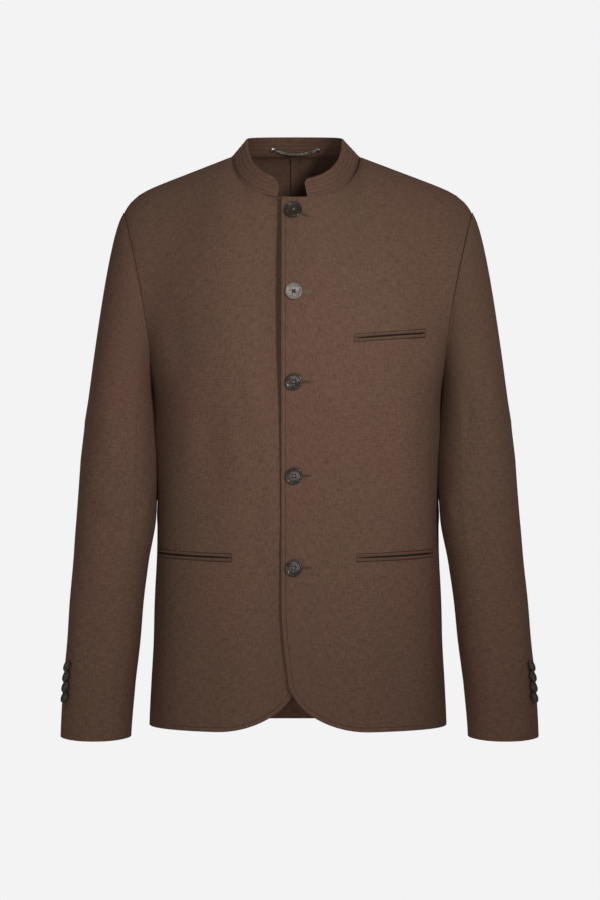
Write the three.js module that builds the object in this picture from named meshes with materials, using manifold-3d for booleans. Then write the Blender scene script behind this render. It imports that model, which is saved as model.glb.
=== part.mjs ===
// Man's stand-collar suit jacket, filled out as if worn, with nobody in it.
// Millimetres, +Z up, front towards -Y, wearer's left towards +X.
// The origin is the middle of the neck base, level with the two neck points.

import * as THREE from 'three';
import Module from 'manifold-3d';
import { mergeVertices } from 'three/addons/utils/BufferGeometryUtils.js';

const wasm = await Module();
wasm.setup();

const degrees = Math.PI / 180;
const quarterTurn = Math.PI / 2;

// Cloth
const clothThickness = 2;
const collarThickness = 2.4;
const weltThickness = 1.2;
const turnUpThickness = 1;
const seamGap = 0.3;
const collarGap = 0.7;
const chordAllowance = 0.6;

// Body: half width and depths of a level section, from the hem up to the chest
const hemLevel = -708.5;
const backHemDip = 5;
const bodySections = [
	{ level: -708.5, halfWidth: 185.5, front: 136, back: 143 },
	{ level: -654, halfWidth: 183, front: 136, back: 141 },
	{ level: -604, halfWidth: 180, front: 134, back: 137 },
	{ level: -554, halfWidth: 178, front: 132, back: 131 },
	{ level: -500, halfWidth: 176, front: 131, back: 125 },
	{ level: -454, halfWidth: 175.4, front: 131, back: 121 },
	{ level: -400, halfWidth: 174.6, front: 134, back: 123 },
	{ level: -350, halfWidth: 174.6, front: 138, back: 129 },
	{ level: -300, halfWidth: 177.5, front: 141, back: 134 },
];
const bodySquareness = 2.3;
const frontSeamAngle = { hem: 58 * degrees, chest: 73 * degrees };
const backSeamAngle = { hem: 62 * degrees, chest: 73 * degrees };

// Armhole: an upright oval whose upper end leans out to the shoulder tip
const armhole = { middleLevel: -182, halfHeight: 112, middleDepth: -1, halfDepth: 62 };
const armholeReach = { bottom: 180, lean: 37, bend: 1.7 };
const armholeCorner = 130 * degrees;

// Neck and shoulders
const neck = { shift: -3, halfWidth: 80, front: 92, back: 62, drop: 57, rise: 7, bend: 0.8 };
const shoulder = { slope: 0.385, tipDrop: 17.6, tipBend: 12 };

// Front edges, either side of the centre front line
const centreFront = -5;
const overlap = 15.5;
const collarSetBack = { left: 16.5, right: 20.5 };
const tuck = { depth: 6.5, from: -88, to: -24 };
const cutaway = { top: -540, level: -640, shift: 8, underShift: 11, reach: 102 };

// Stand collar, measured from the neck seam to its top edge
const collarTop = { shift: -4, halfWidth: 60, front: 79, back: 51, rise: 22.5 };
const collarCorner = { left: { reach: 9, drop: 9 }, right: { reach: 19, drop: 17 } };
const collarCornerShares = [ 0, 0.13, 0.39, 0.72, 1 ];

// Sleeves: level sections from below the armhole to the cuff, for the wearer's left
const sleeveSections = [
	{ level: -330, out: 221.4, depth: -5, halfWidth: 43.9, halfDepth: 66 },
	{ level: -379, out: 222.6, depth: -14, halfWidth: 46.9, halfDepth: 64.5 },
	{ level: -454, out: 226, depth: -24, halfWidth: 49.4, halfDepth: 61 },
	{ level: -504, out: 232.4, depth: -28, halfWidth: 46.8, halfDepth: 58 },
	{ level: -554, out: 237.8, depth: -33, halfWidth: 46, halfDepth: 56 },
	{ level: -604, out: 241.8, depth: -38, halfWidth: 45.3, halfDepth: 53.5 },
	{ level: -654, out: 247.2, depth: -43, halfWidth: 44.7, halfDepth: 51.5 },
	{ level: -722, out: 251.3, depth: -50, halfWidth: 43.6, halfDepth: 49 },
];
const sleeveSquareness = 2.25;
const sleeveStart = { out: 28, outTop: 24, forward: 22, down: 40, downTop: 5 };
const sleeveLand = 36;
const sleeveFrontSeam = 118 * degrees;
const sleeveBackSeam = { armhole: -62 * degrees, cuff: -28 * degrees };
const cuffRise = 2.5;
const sleeveLean = { from: -400, shift: 2 };

// Pockets: ends measured across the front, mouth heights at the two ends
const chestPocket = { inner: 68, outer: 156, innerLevel: -231, outerLevel: -223.5 };
const sidePocket = { innerLevel: -497, outerLevel: -493 };
const sidePocketSpan = {
	left: { inner: 20.7 * degrees, outer: 69.5 * degrees },
	right: { inner: 24.1 * degrees, outer: 79 * degrees },
};
const welt = { height: 4.4, mouth: 0.5 };

// Buttons
const frontButton = {
	radius: 10.3, height: 3.4, rim: 1.6, dish: 0.9, hole: 0.95, holeSpread: 2.1, facets: 16, holeFacets: 5,
};
const cuffButton = {
	radius: 7.4, height: 2.5, rim: 1.2, dish: 0.6, hole: 0.75, holeSpread: 1.6, facets: 12, holeFacets: 4,
};
const frontButtonLevels = [-74, -174.5, -284, -397.5, -509];
const topButtonTilt = 9 * degrees;
const cuffButtonLevels = [-632, -644.8, -657.6, -670.4];
const cuffButtonTilt = 14.5 * degrees;
const cuffButtonStandOff = 2.95;
const cuffButtonAngle = 35 * degrees;

// Hanger chain inside the back neck
const chain = { halfSpan: 31.6, radius: 1.1, sag: 5.5, height: 0.28, standOff: 2.2 };
const chainPlate = { width: 7, height: 5 };

// Back hem turned up inside, and the pressed-open centre seam
const turnUp = { height: 24, ends: 12 * degrees, columns: 20 };
const allowance = { halfWidth: 6, top: -2 };

// Grid of the body panels
const bodyRows = 12;
const upperRows = 9;
const placketColumns = 3;
const neckColumns = 8;
const shoulderShares = [ 0, 0.22, 0.42, 0.6, 0.75, 0.87, 0.95, 1 ];
const sideColumns = 6;
const backNeckColumns = 8;
const cornerEase = 2;
const capRows = 8;
const armRows = 11;
const neckShare = 0.44;
const backNeckShare = 0.4;

function lerp( a, b, t ) {

	return a + ( b - a ) * t;

}

function smooth( t ) {

	const s = THREE.MathUtils.clamp( t, 0, 1 );
	return s * s * ( 3 - 2 * s );

}

// Shares along a seam that crowd towards its end, or its start, at the corner by the neck point
function crowdedEnd( share ) {

	return 1 - ( 1 - share ) ** cornerEase;

}

function crowdedStart( share ) {

	return share ** cornerEase;

}

function signedPower( value, power ) {

	return Math.sign( value ) * Math.abs( value ) ** power;

}

// A smooth value between the rows of a table sorted by level, for each named column.
function sectionAt( table, level ) {

	const upwards = table[ 0 ].level < table[ 1 ].level;
	const rows = upwards ? table : [ ...table ].reverse();
	let k = rows.findIndex( row => row.level > level ) - 1;
	if ( k < 0 ) k = level < rows[ 0 ].level ? 0 : rows.length - 2;
	const t = ( level - rows[ k ].level ) / ( rows[ k + 1 ].level - rows[ k ].level );
	const section = {};
	for ( const column of Object.keys( rows[ 0 ] ) ) {

		const at = i => rows[ THREE.MathUtils.clamp( i, 0, rows.length - 1 ) ][ column ];
		const slopeHere = ( at( k + 1 ) - at( k - 1 ) ) / 2;
		const slopeNext = ( at( k + 2 ) - at( k ) ) / 2;
		section[ column ] = hermite( at( k ), at( k + 1 ), slopeHere, slopeNext, t );

	}

	return section;

}

function hermite( start, end, slopeStart, slopeEnd, t ) {

	const t2 = t * t;
	const t3 = t2 * t;
	return ( 2 * t3 - 3 * t2 + 1 ) * start + ( t3 - 2 * t2 + t ) * slopeStart
		+ ( - 2 * t3 + 3 * t2 ) * end + ( t3 - t2 ) * slopeEnd;

}

// Point of the armhole seam; angle 0 is the shoulder tip, 90 degrees the front, 180 the underarm.
function armholePoint( side, angle ) {

	const height = ( 1 + Math.cos( angle ) ) / 2;
	const out = armholeReach.bottom + armholeReach.lean * height ** armholeReach.bend;
	return new THREE.Vector3(
		side * out,
		armhole.middleDepth - armhole.halfDepth * Math.sin( angle ),
		armhole.middleLevel + armhole.halfHeight * Math.cos( angle ),
	);

}

// The chest section passes through the two lower corners of the armhole.
const frontCorner = armholePoint( 1, armholeCorner );
const backCorner = armholePoint( 1, - armholeCorner );
const chestLevel = frontCorner.z;
const roundness = 2 / bodySquareness;
const shoulderTip = armholePoint( 1, 0 );
const sections = [
	...bodySections,
	{
		level: chestLevel,
		halfWidth: frontCorner.x / Math.sin( frontSeamAngle.chest ) ** roundness,
		front: - frontCorner.y / Math.cos( frontSeamAngle.chest ) ** roundness,
		back: backCorner.y / Math.cos( backSeamAngle.chest ) ** roundness,
	},
];

// Point of the body at a level; angle 0 is the centre front, 90 degrees the wearer's left side.
function bodyPoint( level, angle ) {

	const section = sectionAt( sections, level );
	const facing = Math.cos( angle );
	const depth = facing > 0 ? section.front : section.back;
	return new THREE.Vector3(
		section.halfWidth * signedPower( Math.sin( angle ), roundness ),
		- depth * signedPower( facing, roundness ),
		level,
	);

}

function angleAcross( level, x ) {

	const share = x / sectionAt( sections, level ).halfWidth;
	return Math.asin( signedPower( share, 1 / roundness ) );

}

// The hem dips a little towards the centre back.
function hemAt( angle ) {

	return hemLevel - backHemDip * Math.max( 0, - Math.cos( angle ) );

}

function seamAngle( seam, level ) {

	return lerp( seam.hem, seam.chest, ( level - hemLevel ) / ( chestLevel - hemLevel ) );

}

// Point of the neck seam; angle 0 is the centre front, 90 degrees a neck point, 180 the back.
function neckPoint( side, angle ) {

	const facing = Math.cos( angle );
	const forward = facing > 0;
	const point = new THREE.Vector3(
		neck.shift + side * neck.halfWidth * Math.sin( angle ),
		- ( forward ? neck.front : neck.back ) * facing,
		( forward ? - neck.drop : neck.rise ) * Math.abs( facing ) ** neck.bend,
	);
	return tucked( side, point );

}

function shoulderPoint( side, share ) {

	const start = neckPoint( side, quarterTurn );
	const x = lerp( start.x, side * shoulderTip.x, share );
	const run = Math.abs( x - start.x );
	const fall = shoulder.slope * run + shoulder.tipDrop * share ** shoulder.tipBend;
	const whole = shoulder.slope * Math.abs( side * shoulderTip.x - start.x ) + shoulder.tipDrop;
	return new THREE.Vector3( x, armhole.middleDepth * share, shoulderTip.z * fall / whole );

}

// The wearer's right front passes under the left one, so it steps in near the closure.
function tucked( side, point ) {

	if ( side > 0 || point.y > 0 ) return point;
	point.y += tuck.depth * smooth( ( point.x - tuck.from ) / ( tuck.to - tuck.from ) );
	return point;

}

// Column of a panel above the chest, from the chest section up to the neck or shoulder seam.
function upperPoint( foot, top, rise, rounding ) {

	const arc = 1 - Math.sqrt( Math.max( 0, 1 - rise * rise ) );
	const inwardShare = lerp( rise ** 1.5, arc, rounding );
	return new THREE.Vector3(
		lerp( foot.x, top.x, rise ** armholeReach.bend ),
		lerp( foot.y, top.y, inwardShare ),
		lerp( foot.z, top.z, rise ),
	);

}

function armholeAtLevel( side, level, towards ) {

	const share = THREE.MathUtils.clamp( ( level - armhole.middleLevel ) / armhole.halfHeight, - 1, 1 );
	return armholePoint( side, towards * Math.acos( share ) );

}

// Panel edge above the chest is the armhole itself; columns near it are drawn over to it.
function drawnToArmhole( point, side, towards, across, edge ) {

	const seam = armholeAtLevel( side, edge.z, towards );
	return point.addScaledVector( seam.sub( edge ), across ** 5 );

}

function frontEdgeX( side, level ) {

	const reach = centreFront - side * overlap;
	const below = THREE.MathUtils.clamp( ( cutaway.top - level ) / ( cutaway.top - cutaway.level ), 0, 1 );
	const shift = side > 0 ? cutaway.shift : cutaway.underShift;
	return reach + side * shift * below ** 2;

}

// Lower edge of a front: level at the side, rising along an ellipse to the rounded front corner.
function frontHem( side, x ) {

	const corner = frontEdgeX( side, cutaway.level );
	const share = THREE.MathUtils.clamp( 1 - side * ( x - corner ) / cutaway.reach, 0, 1 );
	return lerp( hemLevel, cutaway.level, 1 - Math.sqrt( 1 - share * share ) );

}

const wordOf = side => side > 0 ? 'left' : 'right';

const collarEndAngle = side => {

	const x = centreFront + side * collarSetBack[ wordOf( side ) ] - neck.shift;
	return Math.asin( side * x / neck.halfWidth );

};

const frontEdgeAngle = side => {

	const x = centreFront - side * overlap - neck.shift;
	return Math.asin( side * x / neck.halfWidth );

};

// Columns of a front: the placket up to the collar's end, the neck seam, then the shoulder.
function frontColumns( side ) {

	const columns = [];
	const placketShare = neckShare * 0.3;
	for ( let i = 0; i < placketColumns; i ++ ) {

		const share = i / placketColumns;
		const angle = lerp( frontEdgeAngle( side ), collarEndAngle( side ), share );
		columns.push( { across: placketShare * share, top: neckPoint( side, angle ) } );

	}

	for ( let i = 0; i < neckColumns; i ++ ) {

		const share = i / neckColumns;
		const angle = lerp( collarEndAngle( side ), quarterTurn, crowdedEnd( share ) );
		columns.push( { across: lerp( placketShare, neckShare, share ), top: neckPoint( side, angle ) } );

	}

	for ( const share of shoulderShares ) {

		columns.push( { across: lerp( neckShare, 1, share ), top: shoulderPoint( side, crowdedStart( share ) ) } );

	}

	return columns;

}

// Point of a front: height 0 to 1 runs from the hem to the chest, 1 to 2 on up to the top edge.
function frontPoint( side, across, top, height ) {

	const angleAt = level => lerp(
		angleAcross( level, frontEdgeX( side, level ) ), side * seamAngle( frontSeamAngle, level ), across );
	if ( height <= 1 ) {

		const foot = bodyPoint( hemLevel, angleAt( hemLevel ) );
		const level = lerp( frontHem( side, foot.x ), chestLevel, height );
		return tucked( side, bodyPoint( level, angleAt( level ) ) );

	}

	const rise = Math.sin( ( height - 1 ) * quarterTurn );
	const foot = tucked( side, bodyPoint( chestLevel, angleAt( chestLevel ) ) );
	const point = upperPoint( foot, top, rise, smooth( across / neckShare ) );
	const corner = armholePoint( side, armholeCorner );
	const edge = upperPoint( corner, armholePoint( side, 0 ), rise, 1 );
	return drawnToArmhole( point, side, 1, across, edge );

}

function heights() {

	const list = [];
	for ( let i = 0; i <= bodyRows; i ++ ) list.push( i / bodyRows );
	for ( let i = 1; i <= upperRows; i ++ ) list.push( 1 + i / upperRows );
	return list;

}

function frontGrid( side ) {

	const columns = frontColumns( side );
	return heights().map( height => columns.map(
		column => frontPoint( side, column.across, column.top, height ) ) );

}

function backColumns( side ) {

	const columns = [];
	for ( let i = 0; i < backNeckColumns; i ++ ) {

		const share = i / backNeckColumns;
		const angle = lerp( Math.PI, quarterTurn, crowdedEnd( share ) );
		columns.push( { across: backNeckShare * share, top: neckPoint( side, angle ) } );

	}

	for ( const share of shoulderShares ) {

		const top = shoulderPoint( side, crowdedStart( share ) );
		columns.push( { across: lerp( backNeckShare, 1, share ), top } );

	}

	return columns;

}

function backPoint( side, across, top, height ) {

	const angleAt = level => {

		const centre = Math.PI - side * angleAcross( level, neck.shift );
		return side * lerp( centre, Math.PI - seamAngle( backSeamAngle, level ), across );

	};

	if ( height <= 1 ) {

		const level = lerp( hemAt( angleAt( hemLevel ) ), chestLevel, height );
		return bodyPoint( level, angleAt( level ) );

	}

	const rise = Math.sin( ( height - 1 ) * quarterTurn );
	const foot = bodyPoint( chestLevel, angleAt( chestLevel ) );
	const point = upperPoint( foot, top, rise, lerp( 0.45, 1, smooth( across / backNeckShare ) ) );
	const corner = armholePoint( side, - armholeCorner );
	const edge = upperPoint( corner, armholePoint( side, 0 ), rise, 1 );
	return drawnToArmhole( point, side, - 1, across, edge );

}

function backGrid( side ) {

	const columns = backColumns( side );
	return heights().map( height => columns.map(
		column => backPoint( side, column.across, column.top, height ) ) );

}

function sideGrid( side ) {

	const grid = [];
	for ( let row = 0; row <= bodyRows; row ++ ) {

		const points = [];
		for ( let column = 0; column <= sideColumns; column ++ ) {

			const across = column / sideColumns;
			const seamTurn = lerp( armholeCorner, 2 * Math.PI - armholeCorner, across );
			const top = armholePoint( side, seamTurn );
			const angleAt = level => side * lerp(
				seamAngle( frontSeamAngle, level ), Math.PI - seamAngle( backSeamAngle, level ), across );
			const level = lerp( hemAt( angleAt( hemLevel ) ), top.z, row / bodyRows );
			const point = bodyPoint( level, angleAt( level ) );
			const miss = top.clone().sub( bodyPoint( top.z, angleAt( top.z ) ) );
			points.push( point.addScaledVector( miss, ( row / bodyRows ) ** 6 ) );

		}

		grid.push( points );

	}

	return grid;

}

function sleeveRing( side, level, angle ) {

	const section = sectionAt( sleeveSections, level );
	const bend = 2 / sleeveSquareness;
	const lean = sleeveLean.shift * smooth( ( sleeveLean.from - level ) / ( sleeveLean.from - hemLevel ) );
	return new THREE.Vector3(
		lean + side * ( section.out + section.halfWidth * signedPower( Math.cos( angle ), bend ) ),
		section.depth - section.halfDepth * signedPower( Math.sin( angle ), bend ),
		level,
	);

}

// Point of a sleeve: length 0 to 1 runs from the armhole to the upper arm, 1 to 2 on to the cuff.
function sleevePoint( side, angle, length ) {

	const upperArm = sleeveSections[ 0 ].level;
	const cuff = sleeveSections[ sleeveSections.length - 1 ].level;
	if ( length >= 1 ) {

		const rise = cuffRise * ( 1 - Math.sin( angle ) ** 2 ) * ( length - 1 ) ** 4;
		const level = lerp( upperArm, cuff, length - 1 );
		return sleeveRing( side, level, angle ).setZ( level + rise );

	}

	const start = armholePoint( side, angle );
	const end = sleeveRing( side, upperArm, angle );
	const facing = Math.cos( angle );
	const leave = new THREE.Vector3(
		side * ( sleeveStart.out + sleeveStart.outTop * facing ),
		- sleeveStart.forward * Math.sin( angle ),
		- ( sleeveStart.down + sleeveStart.downTop * facing ),
	);
	const land = new THREE.Vector3(
		side * sleeveLand * ( ( 1 + facing ) / 2 ) ** 2, 0, end.z - start.z );
	return new THREE.Vector3(
		hermite( start.x, end.x, leave.x, land.x, length ),
		hermite( start.y, end.y, leave.y, land.y, length ),
		hermite( start.z, end.z, leave.z, land.z, length ),
	);

}

function sleeveGrid( side, fromSeam, toSeam, columns ) {

	const grid = [];
	for ( let row = 0; row <= capRows + armRows; row ++ ) {

		const length = row <= capRows ? row / capRows : 1 + ( row - capRows ) / armRows;
		const points = [];
		for ( let column = 0; column <= columns; column ++ ) {

			const angle = lerp( fromSeam( length ), toSeam( length ), column / columns );
			points.push( sleevePoint( side, angle, length ) );

		}

		grid.push( points );

	}

	return grid;

}

const backSleeveSeam = length => lerp( sleeveBackSeam.armhole, sleeveBackSeam.cuff, smooth( length / 1.6 ) );
const frontSleeveSeam = () => sleeveFrontSeam;
const fullTurn = length => backSleeveSeam( length ) + 2 * Math.PI;

// Point of the collar; height 0 is the neck seam, 1 its top edge.
function collarPoint( side, angle, height ) {

	const facing = Math.cos( angle );
	const base = neckPoint( side, angle );
	const top = tucked( side, new THREE.Vector3(
		collarTop.shift + side * collarTop.halfWidth * Math.sin( angle ),
		- ( facing > 0 ? collarTop.front : collarTop.back ) * facing,
		base.z + collarTop.rise,
	) );
	return base.lerp( top, height );

}

function collarGrid( rows ) {

	const stations = [];
	for ( const side of [ - 1, 1 ] ) {

		const end = collarEndAngle( side );
		const { reach, drop } = collarCorner[ wordOf( side ) ];
		const list = [];
		for ( const share of collarCornerShares ) {

			const cut = drop * ( 1 - Math.sqrt( 1 - ( 1 - share ) ** 2 ) );
			list.push( { angle: end + reach * share / neck.halfWidth, cut } );

		}

		for ( let i = 1; i <= neckColumns; i ++ ) {

			const share = crowdedEnd( i / neckColumns );
			list.push( { angle: lerp( end, quarterTurn, share ), cut: 0 } );

		}

		for ( let i = 2 * backNeckColumns - 1; i >= 0; i -- ) {

			const share = crowdedEnd( i / ( 2 * backNeckColumns ) );
			list.push( { angle: lerp( Math.PI, quarterTurn, share ), cut: 0 } );

		}

		if ( side > 0 ) list.reverse().shift();
		for ( const station of list ) stations.push( { side, ...station } );

	}

	const grid = [];
	for ( let row = 0; row <= rows; row ++ ) {

		grid.push( stations.map( ( { side, angle, cut } ) => {

			const slant = collarPoint( side, angle, 0 ).distanceTo( collarPoint( side, angle, 1 ) );
			const height = lerp( collarGap / slant, 1 - cut / slant, row / rows );
			return collarPoint( side, angle, height );

		} ) );

	}

	return grid;

}

// Directions in which the walls thicken, the same for every panel that meets at a seam
function bodyInward( point ) {

	const core = new THREE.Vector3( point.x * 0.6, 0, Math.min( point.z, - 110 ) );
	return core.sub( point ).normalize();

}

function sleeveInward( point ) {

	const side = Math.sign( point.x );
	const section = sectionAt( sleeveSections, Math.min( point.z, sleeveSections[ 0 ].level ) );
	const share = THREE.MathUtils.clamp( ( point.z - sleeveSections[ 0 ].level ) / 180, 0, 1 );
	const core = new THREE.Vector3(
		side * lerp( section.out, 201, share ), section.depth, Math.min( point.z, - 150 ) );
	return core.sub( point ).normalize();

}

function collarInward( point ) {

	const core = new THREE.Vector3( collarTop.shift + point.x * 0.3, 0, point.z );
	return core.sub( point ).normalize();

}

// Draws the edges of a grid in along the cloth, so that sewn neighbours keep their gap.
function eased( grid, sides ) {

	const last = grid.length - 1;
	const end = grid[ 0 ].length - 1;
	const copy = grid.map( row => row.map( point => point.clone() ) );
	const pull = ( r, c, r2, c2 ) => {

		const step = grid[ r2 ][ c2 ].clone().sub( grid[ r ][ c ] );
		copy[ r ][ c ].addScaledVector( step.normalize(), seamGap / 2 );

	};

	for ( let c = 0; c <= end; c ++ ) {

		if ( sides.bottom ) pull( 0, c, 1, c );
		if ( sides.top ) pull( last, c, last - 1, c );

	}

	for ( let r = 0; r <= last; r ++ ) {

		if ( sides.start ) pull( r, 0, r, 1 );
		if ( sides.end ) pull( r, end, r, end - 1 );

	}

	return copy;

}

// Closed wall between a grid of outer points and the same points moved in.
function wallGeometry( grid, inward, thickness, outset = 0 ) {

	const rows = grid.length;
	const columns = grid[ 0 ].length;
	const positions = [];
	for ( const depth of [ - outset, thickness - outset ] ) {

		for ( const point of grid.flat() ) {

			const moved = point.clone().addScaledVector( inward( point ), depth );
			positions.push( moved.x, moved.y, moved.z );

		}

	}

	const index = [];
	const quad = ( a, b, c, d ) => index.push( a, b, c, a, c, d );
	const outer = ( r, c ) => r * columns + c;
	const inner = ( r, c ) => rows * columns + r * columns + c;
	for ( let r = 0; r < rows - 1; r ++ ) {

		for ( let c = 0; c < columns - 1; c ++ ) {

			quad( outer( r, c ), outer( r, c + 1 ), outer( r + 1, c + 1 ), outer( r + 1, c ) );
			quad( inner( r, c ), inner( r + 1, c ), inner( r + 1, c + 1 ), inner( r, c + 1 ) );

		}

	}

	for ( let c = 0; c < columns - 1; c ++ ) {

		quad( outer( 0, c + 1 ), outer( 0, c ), inner( 0, c ), inner( 0, c + 1 ) );
		quad( outer( rows - 1, c ), outer( rows - 1, c + 1 ), inner( rows - 1, c + 1 ), inner( rows - 1, c ) );

	}

	for ( let r = 0; r < rows - 1; r ++ ) {

		quad( outer( r, 0 ), outer( r + 1, 0 ), inner( r + 1, 0 ), inner( r, 0 ) );
		const last = columns - 1;
		quad( outer( r + 1, last ), outer( r, last ), inner( r, last ), inner( r + 1, last ) );

	}

	const geometry = new THREE.BufferGeometry();
	geometry.setAttribute( 'position', new THREE.Float32BufferAttribute( positions, 3 ) );
	geometry.setIndex( facingOut( positions, index ) );
	geometry.computeVertexNormals();
	return geometry;

}

// Turns the triangles over where they enclose a negative volume.
function facingOut( positions, index ) {

	const at = i => new THREE.Vector3().fromArray( positions, 3 * i );
	let volume = 0;
	for ( let i = 0; i < index.length; i += 3 ) {

		volume += at( index[ i ] ).dot( at( index[ i + 1 ] ).cross( at( index[ i + 2 ] ) ) );

	}

	if ( volume > 0 ) return index;
	const turned = [];
	for ( let i = 0; i < index.length; i += 3 ) turned.push( index[ i ], index[ i + 2 ], index[ i + 1 ] );
	return turned;

}

function toManifold( geometry ) {

	const bare = geometry.clone();
	bare.deleteAttribute( 'normal' );
	bare.deleteAttribute( 'uv' );
	const merged = mergeVertices( bare, 1e-4 );
	return new wasm.Manifold( new wasm.Mesh( {
		numProp: 3,
		vertProperties: new Float32Array( merged.attributes.position.array ),
		triVerts: new Uint32Array( merged.index.array ),
	} ) );

}

function fromManifold( solid ) {

	const mesh = solid.getMesh();
	const geometry = new THREE.BufferGeometry();
	geometry.setAttribute( 'position', new THREE.BufferAttribute( mesh.vertProperties, 3 ) );
	geometry.setIndex( new THREE.BufferAttribute( mesh.triVerts, 1 ) );
	geometry.computeVertexNormals();
	return geometry;

}

const backShare = 0.72;

// A dished sew-through button with four holes, its face towards +Y of its own frame.
function buttonGeometry( size ) {

	const half = size.height / 2;
	const profile = [
		[ 0, - half ],
		[ size.radius * backShare, - half ],
		[ size.radius, - half + size.height * 0.45 ],
		[ size.radius - size.rim * 0.5, half ],
		[ size.radius - size.rim, half - 0.2 ],
		[ size.radius * 0.5, half - size.dish ],
		[ 0, half - size.dish ],
	].map( ( [ radius, height ] ) => new THREE.Vector2( radius, height ) );
	let solid = toManifold( new THREE.LatheGeometry( profile, size.facets ) );
	for ( let k = 0; k < 4; k ++ ) {

		const turn = ( k + 0.5 ) * quarterTurn;
		const hole = new THREE.CylinderGeometry( size.hole, size.hole, size.height * 2, size.holeFacets );
		hole.translate( size.holeSpread * Math.cos( turn ), 0, size.holeSpread * Math.sin( turn ) );
		solid = solid.subtract( toManifold( hole ) );

	}

	return fromManifold( solid );

}

function tubeGeometry( path, radius, steps, sides ) {

	const outline = new THREE.Shape();
	for ( let i = 0; i < sides; i ++ ) {

		const turn = 2 * Math.PI * i / sides;
		const move = i === 0 ? 'moveTo' : 'lineTo';
		outline[ move ]( radius * Math.cos( turn ), radius * Math.sin( turn ) );

	}

	outline.closePath();
	return new THREE.ExtrudeGeometry( outline, { steps, extrudePath: path, bevelEnabled: false } );

}

function placed( geometry, position, face, tiltAxis, tilt ) {

	const turn = new THREE.Quaternion().setFromUnitVectors( new THREE.Vector3( 0, 1, 0 ), face );
	if ( tilt ) turn.premultiply( new THREE.Quaternion().setFromAxisAngle( tiltAxis, tilt ) );
	const mesh = new THREE.Mesh( geometry );
	mesh.quaternion.copy( turn );
	mesh.position.copy( position );
	return mesh;

}

// Place on a front by its position across and its level, found by a few corrections.
function onFront( side, x, level ) {

	const columns = frontColumns( side );
	const topAt = across => {

		let k = columns.findIndex( column => column.across > across ) - 1;
		if ( k < 0 ) k = columns.length - 2;
		const share = ( across - columns[ k ].across ) / ( columns[ k + 1 ].across - columns[ k ].across );
		return columns[ k ].top.clone().lerp( columns[ k + 1 ].top, share );

	};

	const at = ( across, height ) => frontPoint( side, across, topAt( across ), height );
	let across = 0.3;
	let height = 0.8;
	const step = 0.004;
	for ( let turn = 0; turn < 30; turn ++ ) {

		const here = at( across, height );
		const aside = at( across + step, height );
		const above = at( across, height + step );
		const a = ( aside.x - here.x ) / step;
		const b = ( above.x - here.x ) / step;
		const c = ( aside.z - here.z ) / step;
		const d = ( above.z - here.z ) / step;
		const determinant = a * d - b * c;
		const dx = x - here.x;
		const dz = level - here.z;
		across = THREE.MathUtils.clamp( across + ( d * dx - b * dz ) / determinant, 0, 0.99 );
		height = THREE.MathUtils.clamp( height + ( a * dz - c * dx ) / determinant, 0, 1.95 );

	}

	return at( across, height );

}

function faceOf( place, x, level ) {

	const reach = 3;
	const here = place( x, level );
	const aside = place( x + reach, level ).sub( here );
	const above = place( x, level + reach ).sub( here );
	const face = above.cross( aside ).normalize();
	return face.y > 0 ? face.negate() : face;

}

const clothColour = '#5d4a3c';
const hornColour = '#2b2623';
const metalColour = '#8d8b86';

function clothMaterial() {

	return new THREE.MeshStandardMaterial( { color: clothColour, roughness: 0.95, metalness: 0 } );

}

function hornMaterial() {

	return new THREE.MeshStandardMaterial( { color: hornColour, roughness: 0.35, metalness: 0 } );

}

function metalMaterial() {

	return new THREE.MeshStandardMaterial( { color: metalColour, roughness: 0.35, metalness: 1 } );

}

const jacket = new THREE.Group();

function add( name, mesh, material ) {

	mesh.name = name;
	mesh.material = material;
	jacket.add( mesh );

}

function addWall( name, grid, inward, thickness, outset = 0 ) {

	add( name, new THREE.Mesh( wallGeometry( grid, inward, thickness, outset ) ), clothMaterial() );

}

const sides = [ [ 'left', 1 ], [ 'right', - 1 ] ];

function addBody() {

	for ( const [ word, side ] of sides ) {

		const seams = { top: true, end: true };
		addWall( `front_${ word }`, eased( frontGrid( side ), seams ), bodyInward, clothThickness );
		const back = eased( backGrid( side ), { ...seams, start: true } );
		addWall( `back_${ word }`, back, bodyInward, clothThickness );
		const sewn = { top: true, start: true, end: true };
		addWall( `side_${ word }`, eased( sideGrid( side ), sewn ), bodyInward, clothThickness );

	}

}

function addSleeves() {

	const sewn = { bottom: true, start: true, end: true };
	for ( const [ word, side ] of sides ) {

		const upper = sleeveGrid( side, backSleeveSeam, frontSleeveSeam, 11 );
		const under = sleeveGrid( side, frontSleeveSeam, fullTurn, 10 );
		addWall( `upper_sleeve_${ word }`, eased( upper, sewn ), sleeveInward, clothThickness );
		addWall( `under_sleeve_${ word }`, eased( under, sewn ), sleeveInward, clothThickness );

	}

}

function addCollar() {

	addWall( 'collar', collarGrid( 4 ), collarInward, collarThickness );

}

// Two welts lie along a pocket mouth, made from the panel's own points moved out.
function addWelts( name, place, startLevel, endLevel, columns ) {

	const outward = weltThickness + seamGap;
	for ( const [ word, from, to ] of [
		[ 'upper', welt.mouth / 2, welt.mouth / 2 + welt.height ],
		[ 'lower', - welt.mouth / 2 - welt.height, - welt.mouth / 2 ],
	] ) {

		const grid = [ 0, 0.5, 1 ].map( share => {

			const row = [];
			for ( let i = 0; i <= columns; i ++ ) {

				const along = i / columns;
				row.push( place( along, lerp( startLevel, endLevel, along ) + lerp( from, to, share ) ) );

			}

			return row;

		} );
		addWall( `${ name }_${ word }`, grid, bodyInward, weltThickness, outward );

	}

}

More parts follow.
